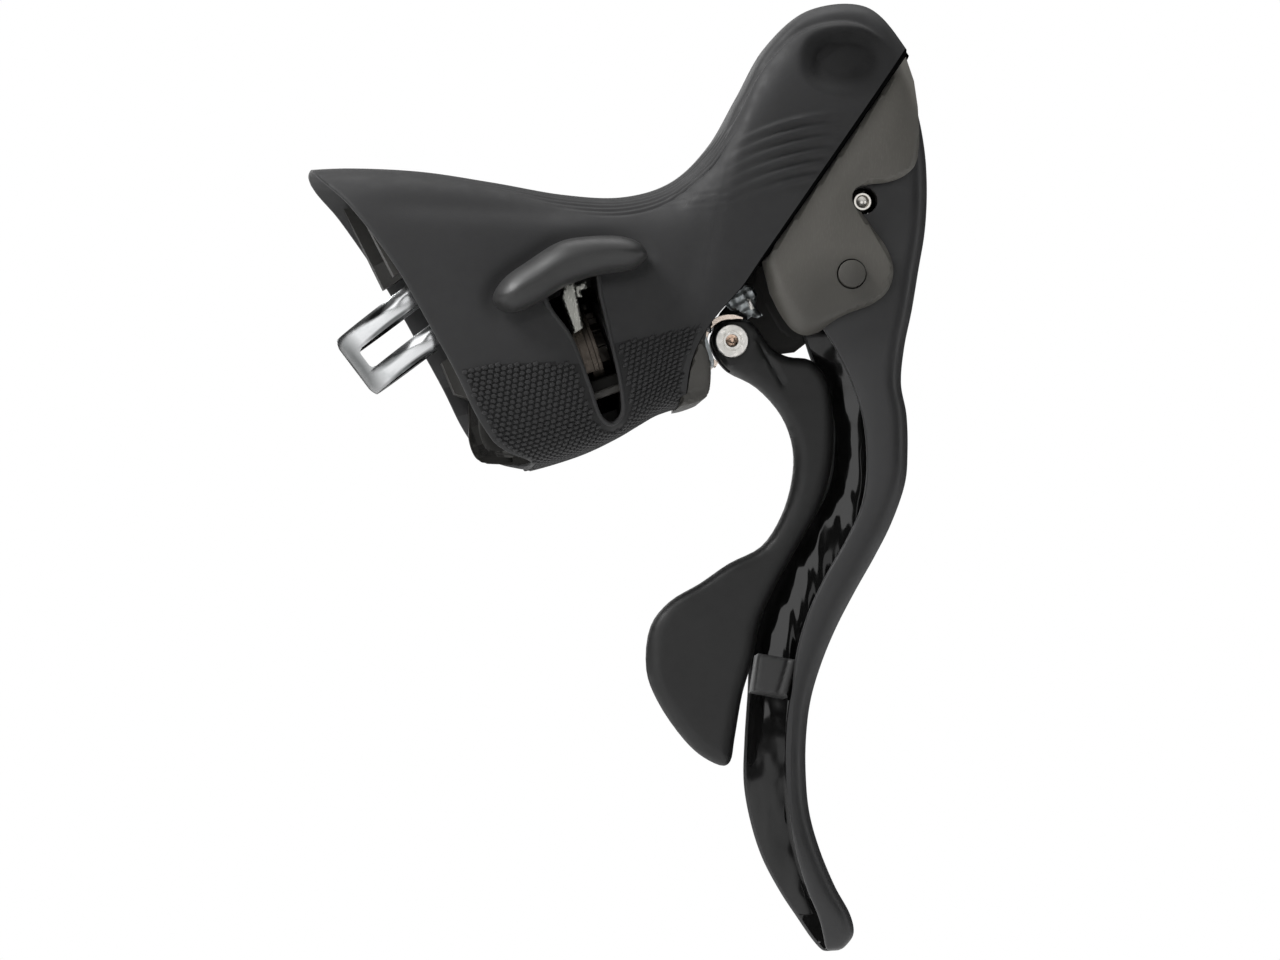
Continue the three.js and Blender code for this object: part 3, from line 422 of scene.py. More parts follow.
SHAFT_AXIS = [math.cos(SHAFT["lean"]), 0.0, math.sin(SHAFT["lean"])]
BAR_AXIS = [math.cos(BAR["lean"]), 0.0, math.sin(BAR["lean"])]


def shaft_point(u, y, v):
    """A point u along the shift shaft and v above it."""
    c, _, s = SHAFT_AXIS
    return [SHAFT["x"] + u * c - v * s, y, SHAFT["z"] + u * s + v * c]


def shaft_spot(u, v):
    """The same as an [x, z] point of the side view."""
    return shaft_point(u, 0, v)[::2]


def shaft_bore(radius, u_low, u_high):
    return turned([[radius, u_low], [radius, u_high]], shaft_point(0, 0, 0), SHAFT_AXIS, 48)


def from_bar(n, t):
    """The [x, z] point that lies n ahead of the bar's middle and t down along it."""
    c, _, s = BAR_AXIS
    return [n * c + t * s, n * s - t * c]


# ------------------------------------------------------------------ materials
class Look:
    """A material's node tree, with short ways to add what the materials share."""

    def __init__(self, name, color, roughness, metallic=0.0):
        self.material = bpy.data.materials.new(name)
        self.material.use_nodes = True
        self.material.diffuse_color = (*color, 1)
        self.tree = self.material.node_tree
        self.shader = self.tree.nodes["Principled BSDF"]
        self.shader.inputs["Base Color"].default_value = (*color, 1)
        self.shader.inputs["Roughness"].default_value = roughness
        self.shader.inputs["Metallic"].default_value = metallic
        self.color, self.roughness = color, roughness
        self.place = self.tree.nodes.new("ShaderNodeTexCoord").outputs["Object"]
        self.height = None

    def node(self, kind, **settings):
        made = self.tree.nodes.new(kind)
        for key, value in settings.items():
            setattr(made, key, value)
        return made

    def link(self, start, end):
        self.tree.links.new(start, end)

    def placed(self, size, turn=0.0, centre=(0, 0, 0)):
        """The place on the piece, counted from a centre in units of `size`, in metres."""
        mapping = self.node("ShaderNodeMapping", vector_type="TEXTURE")
        mapping.inputs["Rotation"].default_value = (0, turn, 0)
        mapping.inputs["Location"].default_value = centre
        mapping.inputs["Scale"].default_value = size
        self.link(self.place, mapping.inputs["Vector"])
        return mapping.outputs["Vector"]

    def noise(self, per_metre, detail=3.0, stretch=(1, 1, 1), turn=0.0):
        """Noise with `per_metre` waves a metre, squeezed along an axis by `stretch`."""
        texture = self.node("ShaderNodeTexNoise")
        texture.inputs["Scale"].default_value = per_metre
        texture.inputs["Detail"].default_value = detail
        self.link(self.placed([1 / s for s in stretch], turn), texture.inputs["Vector"])
        return texture.outputs["Fac"]

    def between(self, value, low, high, out_low=0.0, out_high=1.0):
        mapped = self.node("ShaderNodeMapRange")
        ends = {"From Min": low, "From Max": high, "To Min": out_low, "To Max": out_high}
        for key, number in ends.items():
            mapped.inputs[key].default_value = number
        self.link(value, mapped.inputs["Value"])
        return mapped.outputs["Result"]

    def mix(self, share, color):
        """Mixes a colour over what the base colour has so far, by a share from a node."""
        mixed = self.node("ShaderNodeMix", data_type="RGBA")
        socket = self.shader.inputs["Base Color"]
        if socket.links:
            self.link(socket.links[0].from_socket, mixed.inputs["A"])
        else:
            mixed.inputs["A"].default_value = socket.default_value
        mixed.inputs["B"].default_value = (*color, 1)
        self.link(share, mixed.inputs["Factor"])
        self.link(mixed.outputs["Result"], socket)
        return self

    def cloudy(self, per_metre, amount):
        """Slow variation of the colour, lighter and darker by `amount`."""
        lighter = tuple(c * (1 + 2 * amount) for c in self.color)
        return self.mix(self.between(self.noise(per_metre), 0.35, 0.7), lighter)

    def patch(self, centre, radii, color, share=1.0, turn=0.0):
        """Another colour in a soft-edged ellipsoid, given in millimetres."""
        ball = self.node("ShaderNodeTexGradient", gradient_type="SPHERICAL")
        where = self.placed([r * MM for r in radii], turn, [c * MM for c in centre])
        self.link(where, ball.inputs["Vector"])
        return self.mix(self.between(ball.outputs["Fac"], 0.0, 0.5, 0, share), color)

    def uneven(self, per_metre, spread, stretch=(1, 1, 1), turn=0.0):
        """Variation of the roughness by plus or minus `spread`."""
        low, high = self.roughness - spread, self.roughness + spread
        value = self.between(self.noise(per_metre, 4, stretch, turn), 0.3, 0.7, low, high)
        self.link(value, self.shader.inputs["Roughness"])
        return self

    def rough_skin(self, per_metre, depth_mm, strength=1.0, stretch=(1, 1, 1), turn=0.0, detail=3.0):
        """Adds a fine relief to the surface."""
        bump = self.node("ShaderNodeBump")
        bump.inputs["Strength"].default_value = strength
        bump.inputs["Distance"].default_value = depth_mm * MM
        self.link(self.noise(per_metre, detail, stretch, turn), bump.inputs["Height"])
        if self.height is not None:
            self.link(self.height, bump.inputs["Normal"])
        self.height = bump.outputs["Normal"]
        self.link(self.height, self.shader.inputs["Normal"])
        return self

    def worn_edges(self, color, start=0.53, end=0.62, share=0.5):
        """Mixes a colour in where the surface is most convex."""
        pointed = self.node("ShaderNodeNewGeometry").outputs["Pointiness"]
        return self.mix(self.between(pointed, start, end, 0, share), color)

    def set(self, **values):
        for key, value in values.items():
            self.shader.inputs[key.replace("_", " ")].default_value = value
        return self


def rubber(name="hood_rubber", shade_level=0.030):
    """Matte black rubber with a faint bloom, a painted highlight on the horn's rim and painted shade in its
    dishes.
    """
    c = shade_level
    look = Look(name, (c, c, c * 1.03), 0.62)
    look.cloudy(70, 0.06).uneven(400, 0.06).rough_skin(5200, 0.035, 0.5).rough_skin(900, 0.03, 0.3)
    look.worn_edges((c * 1.8, c * 1.8, c * 1.85), 0.54, 0.66, 0.35)
    # Painted highlight along the top of the horn's rim, and painted shade in the thumb's dish, on each side
    # of the horn.
    for side in (-10, 10):
        look.patch((78.5, side, 56.8), (12, 12, 4.0), (c * 1.9, c * 1.9, c * 1.95), 0.9)
        look.patch((78.2, side, 48.8), (10.5, 12, 8.6), (c * 0.08, c * 0.08, c * 0.09), 1.0)
    return look.set(Specular_IOR_Level=0.4, Sheen_Weight=0.06, Sheen_Roughness=0.5).material


def joint():
    """Painted shade for the gap between the hood and the housing: dull and nearly black."""
    look = Look("joint_shadow", (0.002, 0.002, 0.002), 0.9)
    look.cloudy(300, 0.3).uneven(400, 0.05).rough_skin(3000, 0.02, 0.4)
    return look.set(Specular_IOR_Level=0.03).material


def composite(name="housing_composite", level=1.0, roughness=0.5, shine=0.5):
    """Warm grey fibre-filled plastic with fine streaks along the moulding."""
    color = tuple(c * level for c in (0.115, 0.110, 0.098))
    look = Look(name, color, roughness)
    look.cloudy(90, 0.05)
    fibre = look.between(look.noise(1500, 4, (5, 5, 0.6)), 0.5, 0.72)
    look.mix(fibre, tuple(c * 1.22 for c in color))
    look.uneven(900, 0.06, (4, 4, 0.8)).rough_skin(2600, 0.02, 0.5, (3, 3, 0.6))
    look.rough_skin(7000, 0.012, 0.4)
    look.worn_edges(tuple(c * 1.5 for c in color), 0.55, 0.68, 0.4)
    # Painted shade: the cheeks are darker low down and round the pivot.
    look.patch((77, 0, 2), (13, 60, 12), tuple(c * 0.6 for c in color), 0.8)
    return look.set(Specular_IOR_Level=shine).material


def satin_resin():
    """The blade's outside: satin black with a faint orange-peel skin."""
    look = Look("blade_satin", (0.030, 0.030, 0.031), 0.42)
    look.cloudy(60, 0.08).uneven(260, 0.05).rough_skin(1800, 0.012, 0.35).rough_skin(6500, 0.008, 0.4)
    return look.worn_edges((0.06, 0.06, 0.06), 0.56, 0.7, 0.4).material


def gloss_resin():
    """The blade's channel: glossy black, a little wavy as it left the mould."""
    look = Look("blade_gloss", (0.006, 0.006, 0.006), 0.07)
    look.cloudy(120, 0.2).uneven(300, 0.03).rough_skin(150, 1.1, 0.8, (1, 1, 0.35), detail=2)
    return look.set(Specular_IOR_Level=0.5).material


def black_plastic(name="paddle_plastic", level=0.022, roughness=0.5):
    look = Look(name, (level, level, level), roughness)
    look.cloudy(80, 0.08).uneven(500, 0.05).rough_skin(4200, 0.02, 0.45).rough_skin(600, 0.02, 0.25)
    return look.worn_edges((level * 2.4,) * 3, 0.55, 0.68, 0.4).material


def metal(name, color, roughness, grain=(1, 1, 1), depth=0.006, tarnish=0.12):
    """Worked metal: scratches along the grain, and a tint that varies a little."""
    look = Look(name, color, roughness, 1.0)
    look.cloudy(220, 0.04)
    dark = tuple(c * (1 - 3 * tarnish) for c in color)
    look.mix(look.between(look.noise(700, 5), 0.55, 0.8, 0, 0.6), dark)
    look.uneven(1300, roughness * 0.35, grain).rough_skin(2400, depth, 0.6, grain)
    return look.material


# Painted reflections and shadows on the strap, in the bar's frame: [n, t], half length, half width, grey
# and share.
PAINTED_STRAP_REFLECTIONS = [
    [-15.0, 0.0, 5.2, 14.0, 0.12, 0.9],
    [-4.0, -5.2, 5.2, 0.8, 0.02, 0.95],
    [-5.5, 6.1, 7.5, 0.9, 0.02, 0.95],
    [-8.0, 2.9, 3.6, 0.9, 0.16, 0.8],
    [-4.5, -2.4, 7.0, 0.6, 0.05, 0.85],
    [0.5, 2.6, 4.0, 0.6, 0.10, 0.7],
]


def chrome():
    """Bright plating over pressed steel, drawn lengthways, with painted dark reflections and shadows along
    the strap.
    """
    look = Look("chrome_strip", (0.80, 0.81, 0.82), 0.19, 1.0)
    lengthways, lean = (0.12, 1, 1), -BAR["lean"]
    # Painted dark reflections and shadows, in soft patches along the strap.
    for n, t, length, width, grey, share in PAINTED_STRAP_REFLECTIONS:
        x, z = from_bar(n, t)
        look.patch((x, 0, z), (length, 90, width), (grey * 0.95, grey, grey), share, lean)
    # Painted reflections: darker grey-green bands along the strap.
    look.mix(look.between(look.noise(330, 3, lengthways, lean), 0.5, 0.75, 0, 0.5), (0.35, 0.38, 0.38))
    look.uneven(500, 0.05, lengthways, lean).rough_skin(260, 0.25, 0.5, lengthways, lean, detail=2)
    return look.material


def make_looks():
    return {
        "rubber": rubber(),
        "grip": rubber("hood_grip", 0.013),
        "cell": rubber("hood_cells", 0.026),
        "composite": composite(),
        # A darkened copy of the composite: painted shade for the housing's body, the outboard cheek's back
        # and walls, and the skirt.
        "composite_shaded": composite("housing_inside_shaded", 0.22, 0.5),
        "cap": composite("pin_cap", 0.75, 0.5),
        "satin": satin_resin(),
        "gloss": gloss_resin(),
        "paddle": black_plastic(level=0.013),
        "pad": black_plastic("pad_plastic", 0.034, 0.46),
        "bumper": black_plastic("bumper_plastic", 0.034, 0.55),
        "bush": black_plastic("bush_plastic", 0.12, 0.5),
        "steel": metal("steel", (0.62, 0.60, 0.56), 0.26, (1, 6, 1)),
        "bronze": metal("bronze_steel", (0.10, 0.085, 0.072), 0.36, (1, 6, 1)),
        "dark_steel": metal("dark_steel", (0.05, 0.045, 0.04), 0.4, (1, 6, 1)),
        "brushed": metal("brushed_steel", (0.38, 0.38, 0.35), 0.34, (6, 1, 1)),
        "joint": joint(),
        # A near-black copy of the composite: painted shade on the heel and the slot's wall.
        "heel": composite("housing_heel", 0.09, 0.6, 0.15),
        "bright": metal("bright_steel", (0.78, 0.75, 0.70), 0.2, (4, 1, 4)),
        "lip": composite("housing_lip", 0.5, 0.5),
        "polished": metal("polished_steel", (0.86, 0.84, 0.80), 0.3, (1, 4, 1), depth=0.003, tarnish=0.03),
        "strip": metal("carrier_steel", (0.82, 0.70, 0.61), 0.24, (4, 1, 4), depth=0.004, tarnish=0.08),
        "copper": metal("copper_tint", (0.80, 0.58, 0.45), 0.28),
        "chrome": chrome(),
        "spring": metal("spring_steel", (0.33, 0.33, 0.34), 0.35),
        "zinc": metal("cast_zinc", (0.42, 0.45, 0.46), 0.42, depth=0.03, tarnish=0.18),
        "alloy": metal("turned_alloy", (0.66, 0.67, 0.66), 0.3, (1, 8, 1)),
    }


# ------------------------------------------------------------------ hood
HOOD_ROWS_ALONG = 165
HOOD_ROWS_INSIDE = 26
GROOVE_DROPS = [0.4, 0.95, 1.55, 2.25, 3.05, 3.95]  # below the top of each section


def hood_turns():
    """Turns round a section: about 0.6 mm apart, and closer at the top grooves and the ridges."""
    fine = np.linspace(0, 2 * math.pi, 40001)
    points, drop = form_points(np.full(fine.shape, 0.42), fine)
    length = np.linalg.norm(np.diff(points, axis=0), axis=1)
    middle_drop = (drop[1:] + drop[:-1]) / 2
    from_top = np.degrees(np.minimum(fine, 2 * math.pi - fine))[1:]
    ridges = step_up(from_top, 57, 62) * (1 - step_up(from_top, 87, 90))
    per_mm = 1.5 + 2.6 * (1 - step_up(middle_drop, 5.5, 8.0)) + 2.0 * ridges
    run = np.concatenate([[0], np.cumsum(length * per_mm)])
    return np.interp(np.linspace(0, run[-1], int(run[-1]), endpoint=False), run, fine)


def edge_shares(turns, edge):
    """For each turn, the share along the hood's form at which it crosses an edge."""
    s = np.linspace(0, 1, 700)
    points, _ = form_points(*np.meshgrid(s, turns, indexing="ij"))
    beyond = ahead_of(edge, points[..., 0], points[..., 2])
    crossing = (beyond[:-1] < 0) & (beyond[1:] >= 0)
    first = crossing.argmax(0)
    k = np.arange(len(turns))
    before, after = beyond[first, k], beyond[first + 1, k]
    return s[first] + (s[1] - s[0]) * before / (before - after)


def hood_relief(p, drop):
    """How far the hood's skin stands out of its form: grooves, ridges, dish and hollows."""
    x, z = p[..., 0], p[..., 2]
    # Fine grooves run along the neck, fan out towards the horn and fade at both ends.
    fan = 1 + 1.5 * step_up(x, 48, 62)
    shown = step_up(x, -4, 22) * (1 - step_up(z + 0.6 * (x - 50), 29, 41))
    depth, width = 0.32 + 0.3 * step_up(x, 46, 60), 0.17 + 0.12 * step_up(drop, 1, 5)
    rise = np.zeros(x.shape)
    for k, groove in enumerate(GROOVE_DROPS):
        begun = step_up(x, 5.5 * k, 5.5 * k + 14)
        rise -= depth * shown * begun * bell(drop, groove * fan, width)
    # Three soft waves carry the lowest grooves on, and overlapping ridges cross the horn's root.
    wave = np.cos(2 * math.pi * (z - 22.0 - 0.08 * (x - 51)) / 1.35)
    rise += 0.22 * wave * bell(x, 51, 5.0) * bell(z, 22.2, 1.7)
    dx = x - 68.5
    level = z - (37.4 + 0.26 * dx - 0.012 * dx**2)
    wave = (-level / 2.2) % 1.0
    scale = step_up(wave, 0.0, 0.3) * (1 - step_up(wave, 0.35, 1.0))
    where = bell(dx, -0.5, 7.0) * step_up(-level, -0.6, 0.8) * (1 - step_up(-level, 10, 15.5))
    rise += 0.75 * scale * where
    # The thumb's dish on each side of the horn: a firm upper edge, fading forwards and down.
    u, v = (x - 78.2) / 8.4, (z - 47.6) / 6.4
    reach = (np.abs(u) ** 2.4 + np.abs(v) ** 2.4) ** (1 / 2.4)
    ramp = step_up(v - 0.8 * u, -1.5, 1.0)
    rise -= 2.0 * ramp * (1 - step_up(reach, 0.62, 1.05)) * step_up(drop, 1.5, 4.5)
    # A shallow valley follows the horn's rim, and a hollow follows the edge of the rear skirt.
    horn = step_up(z + 0.4 * (x - 60), 31, 40) * (1 - step_up(x - 0.6 * (z - 50), 78, 86))
    rise -= 0.9 * horn * bell(drop, 3.4, 1.0)
    rise -= 0.55 * bell(z, 20.6 - 0.03 * x, 2.6) * step_up(x, -14, 0) * (1 - step_up(x, 22, 40))
    return rise


def pad_hollow(p):
    """The skin is drawn in a little where the thumb pad lies against it."""
    near = off_line(p.reshape(-1, 3)[:, [0, 2]], PAD_OUTLINE).reshape(p.shape[:-1])
    return -0.5 * (p[..., 1] < 0) * bell(near, 0, 1.6)


def normals_of(grid):
    along_rows = np.gradient(grid, axis=0)
    along_columns = np.roll(grid, -1, 1) - np.roll(grid, 1, 1)
    n = np.cross(along_rows, along_columns)
    n /= np.linalg.norm(n, axis=-1)[..., None] + 1e-12
    centre = grid.mean(1, keepdims=True)
    return n * np.sign(((grid - centre) * n).sum(-1).mean())


def make_hood(looks):
    """The rubber cover: an outer skin in relief, a thinner inner skin and two rounded edges."""
    turns = hood_turns()
    rear, front = edge_shares(turns, REAR_EDGE), edge_shares(turns, FRONT_EDGE)
    # The last two rows lie close together: between them starts the near-black painted shade along the front
    # edge.
    share = np.append(np.linspace(0, 0.9965, HOOD_ROWS_ALONG), 1.0)[:, None]
    s = rear + (front - rear) * share
    a = np.broadcast_to(turns, s.shape)
    skin, drop = form_points(s, a)
    margin = step_up(share, 0.0, 0.02) * (1 - step_up(share, 0.985, 1.0))
    outer = skin + normals_of(skin) * ((hood_relief(skin, drop) + pad_hollow(skin)) * margin)[..., None]
    share_in = np.linspace(1, 0, HOOD_ROWS_INSIDE)[:, None]
    s_in = rear + (front - rear) * share_in
    a_in = np.broadcast_to(turns, s_in.shape)
    wall = HOOD_WALL - 0.9 * (1 - step_up(share_in, 0.0, 0.10))
    full, _ = form_points(s_in, a_in)
    thin, _ = form_points(s_in, a_in, HOOD_WALL)
    inner = full + (thin - full) * (wall / HOOD_WALL)[..., None]

    def lip(end, before, other):
        """Two rows that round the edge from the outer skin to the inner one."""
        way = end - before
        way /= np.linalg.norm(way, axis=-1)[:, None]
        return [end * 0.8 + other * 0.2 + way * 0.22, end * 0.25 + other * 0.75 + way * 0.22]

    rows = [*outer, *lip(outer[-1], outer[-3], inner[0]), *inner, *lip(inner[-1], inner[-2], outer[0])]
    rows = np.array(rows)
    faces = grid_faces(len(rows), len(turns), wrap_rows=True)
    spots = rows.reshape(-1, 3)
    row = np.arange(len(rows)).repeat(len(turns))
    # The front edge's rows take the joint's near-black look: painted shade in the gap.
    at_edge = (row >= HOOD_ROWS_ALONG - 1) & (row < HOOD_ROWS_ALONG + 3)
    slots = np.where(at_edge, 2, grip_zone(spots[np.array(faces)].mean(1), 0.25))
    hood = make("hood", spots, faces, [looks["rubber"], looks["grip"], looks["joint"]], slots, sharp=60)
    cut(hood, slab(THUMB_SLOT, -30, 0), sharp=60)
    merged(hood, slot_lip(looks))
    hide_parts("rubber_hood")
    for part in (hood, grip_cells(looks)):
        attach(part, "housing")


def slot_lip(looks):
    """A soft bead round the thumb lever's slot."""
    line = evenly(THUMB_SLOT, 0.7)
    sunk, radius, sides = 0.22, 0.42, 10
    path = np.stack([line[:, 0], sunk - form_half(line), line[:, 1]], -1)
    points = bead_points(path, radius, sides).reshape(-1, 3)
    faces = grid_faces(len(line), sides, wrap_rows=True)
    return make("slot_lip", points, faces, [looks["rubber"]], sharp=80)


GRIP_CELL = {"along": 1.24, "around": 0.9, "height": 0.42}
# The grip's upper border behind the slot and ahead of it, as [x, z] points.
GRIP_BORDER = [
    [0, -9.6], [7, -9.8], [14, -8.3], [22, -7.9], [29, -8.0], [33, -4.6], [40, -3.4], [46, -1.9],
    [56, 0.2],
]


def grip_zone(points, margin):
    """True where the skin lies in the grip, at least `margin` inside its borders."""
    border = np.array(GRIP_BORDER)
    x, z = points[:, 0], points[:, 2]
    under = z < np.interp(x, border[:, 0], border[:, 1]) - margin
    return under & (ahead_of(REAR_EDGE, x, z) > 0.8 + margin) & (ahead_of(FRONT_EDGE, x, z) < -0.9 - margin)


def grip_cells(looks):
    """Small moulded pads in staggered rows over the lower part of the hood."""
    shares = np.linspace(0.0, 0.62, 160)
    turns = np.linspace(math.pi, 0.12 * math.pi, 900)
    length, width = GRIP_CELL["along"], GRIP_CELL["around"]
    slot_line = evenly(THUMB_SLOT, 0.7)
    points, faces = [], []
    for side in (1, -1):
        skin, _ = form_points(*np.meshgrid(shares, math.pi + side * (turns - math.pi), indexing="ij"))
        steps = np.linalg.norm(np.diff(skin, axis=1), axis=2)
        run = np.concatenate([np.zeros((len(shares), 1)), np.cumsum(steps, axis=1)], axis=1)

        def line_at(distance, skin=skin, run=run):
            """The curve along the hood at this distance round from its lowest line."""
            return np.array(
                [[np.interp(distance, run[i], skin[i, :, k]) for k in range(3)] for i in range(len(shares))]
            )

        for row in range(0 if side == 1 else 1, 60):
            level = row * width
            lines = [line_at(max(level + f * width, 0.0)) for f in (-0.5, 0.0, 0.5)]
            middle = lines[1]
            reach = np.concatenate([[0], np.cumsum(np.linalg.norm(np.diff(middle, axis=0), axis=1))])
            offset = 0.5 * length * (row % 2)
            for at in np.arange(offset + 1.0, reach[-1] - 1.0, length):
                spot = np.array([np.interp(at, reach, middle[:, k]) for k in range(3)])
                if not grip_zone(spot[None], 0.3)[0]:
                    continue
                flat = spot[None, [0, 2]]
                if side * spot[1] < -0.1 or (spot[1] < 0 and inside(flat, slot_line)[0]):
                    continue
                if spot[1] < 0 and off_line(flat, slot_line)[0] < 1.2:
                    continue
                add_cell(points, faces, lines, reach, at)
    return make("hood_grip", points, faces, [looks["cell"]], sharp=35)


def add_cell(points, faces, lines, reach, at):
    """One pad: a hexagon on the skin, drawn in towards its raised top."""
    length, height = GRIP_CELL["along"], GRIP_CELL["height"]

    def on(line, distance):
        return np.array([np.interp(distance, reach, line[:, k]) for k in range(3)])

    corners = [(1, -0.5), (0, -0.3), (0, 0.3), (1, 0.5), (2, 0.3), (2, -0.3)]
    base = np.array([on(lines[k], at + f * length) for k, f in corners])
    centre = base.mean(0)
    normal = np.cross(base[1] - base[4], base[0] - base[3])
    normal /= np.linalg.norm(normal) + 1e-12
    outward = centre - np.array([centre[0], 0.0, max(centre[2], -8.0)])
    if normal @ outward < 0:
        normal = -normal
    first = len(points)
    for shrink, lift in ((0.92, -0.25), (0.86, 0.6 * height), (0.6, height)):
        points.extend(centre + (base - centre) * shrink + normal * lift)
    for k in range(2):
        for j in range(6):
            a, b = first + 6 * k + j, first + 6 * k + (j + 1) % 6
            faces.append([a, b, b + 6, a + 6])
    faces.append([first + j for j in range(6)])
    faces.append([first + 12 + j for j in range(6)])


# ------------------------------------------------------------------ housing
# Side-view outlines of the housing's parts and hollows, as [x, z] points.
CHEEK_REAR = [[62.9, 11.2], [89.3, 48.9]]
CHEEK_OUTLINE = np.vstack(
    [
        CHEEK_REAR[1:],
        [[90.8, 44.5]],
        smooth_line(
            [
                [91.5, 39.7], [91.7, 33.1], [90.9, 29.1], [88.9, 27.1], [85.8, 25.9], [82.2, 25.4],
                [80.1, 24.1], [79.8, 22.1], [81.1, 19.9],
            ]
        ),
        smooth_line(
            [
                [82.6, 17.9], [85.7, 13.5], [86.8, 9.7], [85.7, 5.9], [83.3, 3.8], [78.6, 1.9],
                [75.8, 0.4], [73.3, -1.5], [70.7, -2.1], [68.7, -1.3], [66.5, 1.3], [64.3, 5.5],
            ]
        ),
        CHEEK_REAR[:1],
    ]
)
SKIRT_OUTLINE = [
    [80.0, 12.0], [63.2, 11.6], [60.0, 7.0], [57.2, 3.6], [55.6, 0.4], [57.6, -2.6], [64.6, -4.6],
    [70.6, -3.8], [78.0, 2.0],
]
HEEL_OUTLINE = smooth_line(
    [
        [17.0, -15.0], [11.4, -12.8], [11.2, -16.5], [11.2, -20.0], [12.3, -23.2], [14.4, -25.1],
        [17.0, -25.6], [21.6, -25.5], [23.4, -22.0],
    ],
    closed=True,
)
LIP_OUTLINE = [
    *smooth_line([[48.0, -15.2], [49.4, -14.9], [51.2, -14.3], [52.5, -13.7], [53.2, -12.9]]),
    *smooth_line([[53.4, -12.2], [53.4, -9.8], [52.9, -6.4], [51.7, -3.4]]),
    [50.6, -3.6], [49.0, -9.0], [48.0, -13.0],
]
CORE_OUTLINE = [
    [-17.0, 32.0], [-11.1, 20.5], [-4.5, 7.5], [-2.4, 8.7], [4.4, -3.6], [6.0, -5.6], [8.5, -11.5],
    [11.4, -12.6], [11.5, -20.0], [16.0, -34.0], [47.0, -34.0], [48.4, -14.0], [53.2, -10.0],
    [52.2, -3.5], [54.0, 6.0], [60.0, 14.0], [66.0, 14.0], [80.0, 24.0], [88.0, 44.0], [88.0, 62.0],
]
HEAD_SLOT = [
    [96.0, 58.0], [88.2, 48.6], [84.0, 43.0], [73.0, 28.4], [68.4, 19.5], [68.0, 8.0],
    [69.5, -12.0], [96.0, -12.0],
]


def form_solid(inset, name="form", looks=()):
    """The hood's form as a solid, drawn in by `inset`."""
    rings, _ = form_points(*np.meshgrid(np.linspace(0, 1, 120), round_turns(96), indexing="ij"), inset)
    return lofted(name, rings, looks)


def form_relief(name, outline, inset, least, radius, look, step):
    """A solid over an outline, as wide as the hood's form drawn in by `inset`, but at least
    `least` to each side, with its edges rounded to `radius`."""

    def half(p, distance):
        return np.maximum(form_half(p, inset), least) - round_over(distance, radius)

    return mirrored(name, outline, half, look, step)


def bar_space(radius):
    """The space that the handlebar takes: it bends backwards above the clamp and below it."""
    rings = []
    for i in np.linspace(-1, 1, 31):
        bend, way, most = (BAR["lower_bend"], 1, 40) if i < 0 else (BAR["upper_bend"], -1, 60)
        turn = math.radians(abs(i) * most)
        ring = []
        for a in round_turns(56):
            out = radius * math.cos(a)
            n = (bend + out) * math.cos(turn) - bend
            t = way * (bend + out) * math.sin(turn)
            x, z = from_bar(n, t)
            ring.append([x, radius * math.sin(a), z])
        rings.append(ring)
    return lofted("bar", rings, [])


def bar_slab(outline, y_low, y_high):
    return slab([from_bar(n, t) for n, t in outline], y_low, y_high)


def bar_rod(radius, n_low, n_high):
    return turned([[radius, n_low], [radius, n_high]], [0, 0, 0], BAR_AXIS, 32)


def make_housing(looks):
    """The body under the hood: the hood's form drawn in, with every bore and hollow cut out."""
    # The body wears the darkened copy of the composite: painted shade.
    body = form_solid(CORE_INSET, "housing_body", [looks["composite_shaded"]])
    combine(body, [slab(CORE_OUTLINE, -30, 30)], "INTERSECT")
    lean, reach = STOP["lean"], (14, -9)
    web = [[STOP["x"] + r * math.sin(lean), STOP["z"] + r * math.cos(lean)] for r in reach]
    legs = [[8, -6.1], [20.1, -6.1], [20.1, 6.1], [8, 6.1]]
    barrel = from_bar(17, 0)
    cut(
        body,
        # the bar with its strap, the hollow behind the web, and the blade's slot
        bar_space(BAR["radius"]),
        bar_slab([[-30, -8.4], [12.6, -8.4], [12.6, 8.4], [-30, 8.4]], -30, 30),
        slab([*web, [-30, 2], [-30, 45]], -11.6, 11.6),
        slab(HEAD_SLOT, -CHEEK_SLOT, CHEEK_SLOT),
        # the chamber of the mechanism, its mouth, the shaft's rear seat and the thumb lever's way
        shaft_bore(11.4, -8.4, 24),
        shaft_bore(9.4, 20, 34),
        shaft_bore(5.3, -10.6, 0),
        slab(THUMB_SLOT, -30, 0),
        # the pins, the strap's legs, the barrel nut, the clamp's bolt and the bolt's head
        rod(PIVOT, 2.8, -30, 30),
        rod(RELEASE, 2.7, -30, 30),
        bar_slab(legs, 11.9, 13.9),
        bar_slab(legs, -13.9, -11.9),
        rod(barrel, 3.4, -30, 30),
        bar_rod(2.8, 8, 30),
        bar_rod(4.3, 26.5, 45),
    )
    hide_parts("lever_housing")
    for piece in (body, *cheeks(looks), gap_shade_bead(looks), *heel_and_lip(looks)):
        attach(piece, "housing")


def cheek_radius(p):
    """The cheek's edge is crisp at its front, and broadly rounded low at its rear."""
    low_rear = step_up(-(p[:, 1] - 6) - 0.9 * (p[:, 0] - 70), -4, 6)
    return 0.9 + 2.4 * low_rear


def cheek(name, side, looks):
    """One of the two plates that carry the blade, with its crowned outer face."""

    def outer(p, distance):
        crown = 0.5 * np.clip(1 - distance / 9, 0, 1) ** 2
        half = form_half(p, FACE_INSET) - crown - round_over(distance, cheek_radius(p))
        return side * np.maximum(half, CHEEK_SLOT + 0.5)

    def inner(p, distance):
        return side * (CHEEK_SLOT + 0.05 + round_over(distance, 0.4))

    made = relief(name, CHEEK_OUTLINE, outer, inner, looks, step=0.7)
    return cut(made, rod(PIVOT, 2.75, -30, 30), rod(RELEASE, 2.6, -30, 30))


